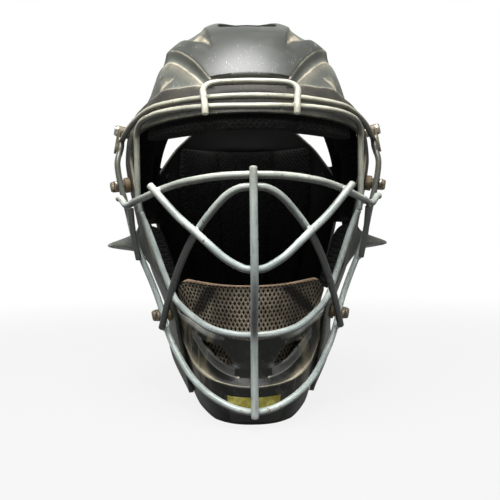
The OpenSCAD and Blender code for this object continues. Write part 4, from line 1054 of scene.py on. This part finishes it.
def filled(cap=0.003, frames=20, shades=20):
    """Cloth run for all the cushions together: foam pressure pushes the mesh face out while the seat, the borders
    and the sewn channels are held, in so many shades from free to held. No move is longer than the cap, and the
    result is kept as plain meshes."""
    scene = bpy.context.scene
    scene.use_gravity = False
    for ob in CUSHIONS:
        n = len(ob.data.vertices)
        free, inner = np.empty(n, np.float32), np.empty(n, np.float32)
        ob.data.attributes["free"].data.foreach_get("value", free)
        ob.data.attributes["inner"].data.foreach_get("value", inner)
        held = np.round((1 - free * (inner < 0.5)) * shades).astype(int)
        group = ob.vertex_groups.new(name="held")
        for k in range(1, shades + 1):
            group.add(np.flatnonzero(held == k).tolist(), k / shades, "REPLACE")
        for mod in ob.modifiers:
            mod.show_viewport = False
        cloth = ob.modifiers.new("filling", "CLOTH")
        cloth.settings.quality = 4
        cloth.settings.mass = 0.15
        cloth.settings.tension_stiffness = cloth.settings.compression_stiffness = 8
        cloth.settings.bending_stiffness = 0.3
        cloth.settings.vertex_group_mass = "held"
        cloth.settings.use_pressure, cloth.settings.uniform_pressure_force = True, 4
        cloth.collision_settings.use_collision = False
        cloth.point_cache.frame_start, cloth.point_cache.frame_end = 1, frames
    for frame_no in range(1, frames + 1):
        scene.frame_set(frame_no)
    graph = bpy.context.evaluated_depsgraph_get()
    for ob in CUSHIONS:
        rest, now = np.empty((2, 3 * len(ob.data.vertices)), np.float32)
        ob.data.vertices.foreach_get("co", rest)
        ob.evaluated_get(graph).data.vertices.foreach_get("co", now)
        move = (now - rest).reshape(-1, 3)
        move *= np.minimum(1, cap / np.maximum(np.linalg.norm(move, axis=1, keepdims=True), 1e-9))
        ob.modifiers.remove(ob.modifiers["filling"])
        ob.vertex_groups.clear()
        ob.data.vertices.foreach_set("co", (rest.reshape(-1, 3) + move).ravel())
        ob.data.update()
        for mod in ob.modifiers:
            mod.show_viewport = True
    scene.frame_set(1)


def chin_binding():
    """Rolled binding along the chin pad's top edge, thicker towards the rounded corners."""
    a = np.linspace(-1, 1, 121)
    b = -1 + 0 * a
    path = skin(chin_place(a, b), -chin_back(a, b) - 3.0) + [0, 0, 0.2]
    on(tube("chin_pad_binding", path, 0.95 + 0.95 * np.abs(a) ** 3, BINDING, 16), "helmet", "chin_mesh")


def pads():
    """The nine cushions; those of the left side mirror the right side's."""
    pad("forehead_cushion", forehead_place, lambda a, b: shell_inside(forehead_place(a, b)), 17, 140, 36,
        "forehead_pad", grooves=(-0.36, 0.36))
    for side, mirror in (("right", False), ("left", True)):
        pad("crown_cushion_" + side, crown_place, lambda a, b: SHELL_T + 4 * SEAT - relief(crown_place(a, b)),
            14, 24, 60, "crown_pads", mirror=mirror)
        pad("ear_cushion_" + side, ear_place, lambda a, b: shell_inside(ear_place(a, b)), 20, 48, 60,
            "ear_pads", window=(0.5, 0.4), mirror=mirror, swell=(1.15, 0.65), rear=0.6)
        pad("jaw_cushion_" + side, jaw_place, lambda a, b: SHELL_T + SEAT + 0 * a, 14, 30, 44, "jaw_pads",
            mirror=mirror)
    pad("head_plate_cushion", plate_pad_place, lambda a, b: PLATE_T + 2 * SEAT + 0 * a, 13, 110, 110,
        "head_plate_pad", body="head_plate", grooves=(-0.4, 0.4))
    pad("chin_cushion", chin_place, chin_back, 12, 120, 60, "chin_pad", TAN_MESH, slot="chin_mesh", folded=True)


pads()
chin_binding()
filled()

# ---------------------------------------------------------------- straps
def strap(name, node, face, back, aside):
    """Elastic band: the middle lines of its face and its back, drawn out by STRAP_W in the direction aside. Its lay
    is the distance along the face's line and the place across it."""
    across = np.linspace(-STRAP_W / 2, STRAP_W / 2, 9)[:, None]
    lay = np.stack(np.broadcast_arrays(run_along(face), across), -1)
    face, back = (line + across[..., None] * aside for line in (face, back))
    if name.endswith("left"):
        face, back, lay = mirrored(face)[:, ::-1], mirrored(back)[:, ::-1], lay[:, ::-1]
    ob = walled(name, face, back, ELASTIC, None, lay, None, 0.5, 50)
    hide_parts(node)
    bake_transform(ob)


def straps():
    """Flat elastic bands laid on the form from the shell to the head plate: one on each side, one over the top."""
    line = at(np.linspace(98, 137, 60), SIDE_STRAP_H)
    face, back = skin(line, STRAP_LIFT + STRAP_T), skin(line, STRAP_LIFT)
    for name in ("side_strap_right", "side_strap_left"):
        strap(name, "side_straps", face, back, (0, 0, 1))
    line = np.stack([np.zeros(80), -np.linspace(29, 109, 80)], -1)
    face, back = skin(line, STRAP_LIFT + STRAP_T + relief(line)), skin(line, STRAP_LIFT + relief(line))
    strap("top_strap_band", "top_strap", face, back, (1, 0, 0))


straps()

# ---------------------------------------------------------------- small fittings keep their solids
for node, material in {"temple_clips": STAINED, "side_clips": STAINED, "jaw_clips": STAINED, "temple_screws": STEEL,
                       "side_screws": STAINED, "jaw_screws": STAINED, "screw_nuts": STAINED, "side_spacers": RUBBER,
                       "jaw_grommets": RUBBER, "shell_strap_anchors": BLACK, "plate_strap_anchors": BLACK,
                       "strap_studs": BLACK, "plate_studs": BLACK}.items():
    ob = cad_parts[node]
    ob.data.materials.clear()
    ob.data.materials.append(material)

# ---------------------------------------------------------------- floor, light, camera
WHITE = (1, 1, 1, 1)
# Each lamp's place, what it is aimed at, its size in metres and its watts
LAMPS = {"overhead lamp": ((-0.1, -0.5, 1.22), (0, 0, 0.15), 0.95, 43),
         "front lamp": ((-0.4, -1.4, 0.7), (0, 0, 0.12), 1.5, 1.3),
         "right lamp": ((1.0, -0.5, 0.8), (0, 0, 0.15), 0.8, 2)}
# Camera: metres from the head's axis and up, its turn and roll in radians, lens in millimetres
CAMERA_AWAY, CAMERA_HIGH, CAMERA_TURN, CAMERA_ROLL, LENS = 0.523, 0.118, 0.0242, 0.012, 43.2


def floor_finish(t):
    """Pale grey, faintly mottled."""
    grain = t.noise(t.place(), 3.0, 3.0)
    return {"Base Color": (grain * 0.2).blend(rgb(120, 120, 120), rgb(112, 112, 112)), "Roughness": 0.85}


def rays(t):
    """Whether a ray comes from the camera, a reflection or a clear body."""
    return (t.node("LightPath", out=kind + " Ray") for kind in ("Is Camera", "Is Glossy", "Is Transmission"))


def studio_floor():
    """A round floor that looks white to the camera and keeps the helmet's shadow."""
    sides = 96
    r = np.concatenate([np.linspace(0.05, 1.2, 10), [2, 4, 9]])[:, None] * 1000
    w = 2 * np.pi * np.arange(sides) / sides
    pts = np.stack([r * np.cos(w), r * np.sin(w), 0 * r * w], -1).reshape(-1, 3)
    quads, triangles = ring_faces(len(r), sides, flip=True)
    material = finish_of("white floor", floor_finish)
    tree = material.node_tree
    t = Tone(tree)
    camera, glossy, clear = rays(t)
    x, y, _ = t.place().parts()
    white = camera.most(glossy * 0.2, clear) * (0.86 + (x * x + y * y).root().step(0.25, 1.1) * 0.14)
    glow = t.node("Emission", {}, {"Color": WHITE, "Strength": 1.0})
    plain = Tone(tree, tree.nodes["Principled BSDF"].outputs[0])
    both = t.node("MixShader", {}, {0: white, 1: plain, 2: glow})
    tree.links.new(both.socket, tree.nodes["Material Output"].inputs["Surface"])
    make_mesh("studio_floor", np.concatenate([pts, [[0, 0, 0]]]), quads, material,
                       triangles=triangles[:sides])


def studio():
    """A white surround that is dimmer in reflections and on the object, and three wide soft lamps."""
    world = bpy.data.worlds.new("studio")
    world.use_nodes = True
    bpy.context.scene.world = world
    camera, glossy, clear = rays(Tone(world.node_tree))
    background = world.node_tree.nodes["Background"].inputs
    strength = camera.most(glossy, clear) * 0.95 - glossy * 0.84 + 0.05
    world.node_tree.links.new(strength.socket, background["Strength"])
    background["Color"].default_value = WHITE
    for name, (place, aim, size, power) in LAMPS.items():
        lamp = bpy.data.lights.new(name, "AREA")
        lamp.shape, lamp.size, lamp.energy = "DISK", size, power
        ob = bpy.data.objects.new(name, lamp)
        bpy.context.scene.collection.objects.link(ob)
        d = np.array(aim) - np.array(place)
        ob.location = place
        ob.rotation_euler = (math.atan2(math.hypot(d[0], d[1]), -d[2]), 0, math.atan2(-d[0], d[1]))


def photo_camera():
    """The photograph's camera, level, a little to the left of the middle and slightly rolled."""
    lens = bpy.data.cameras.new("photo camera")
    lens.lens, lens.sensor_width, lens.clip_start = LENS, 36, 0.02
    lens.shift_x = 0.0039
    ob = bpy.data.objects.new("photo_camera", lens)
    bpy.context.scene.collection.objects.link(ob)
    ob.location = (-CAMERA_AWAY * math.sin(CAMERA_TURN), -CAMERA_AWAY * math.cos(CAMERA_TURN), CAMERA_HIGH)
    ob.rotation_euler = (math.radians(90), CAMERA_ROLL, -CAMERA_TURN)
    bpy.context.scene.camera = ob


studio_floor()
studio()
photo_camera()
bpy.context.scene.view_settings.view_transform = "Standard"
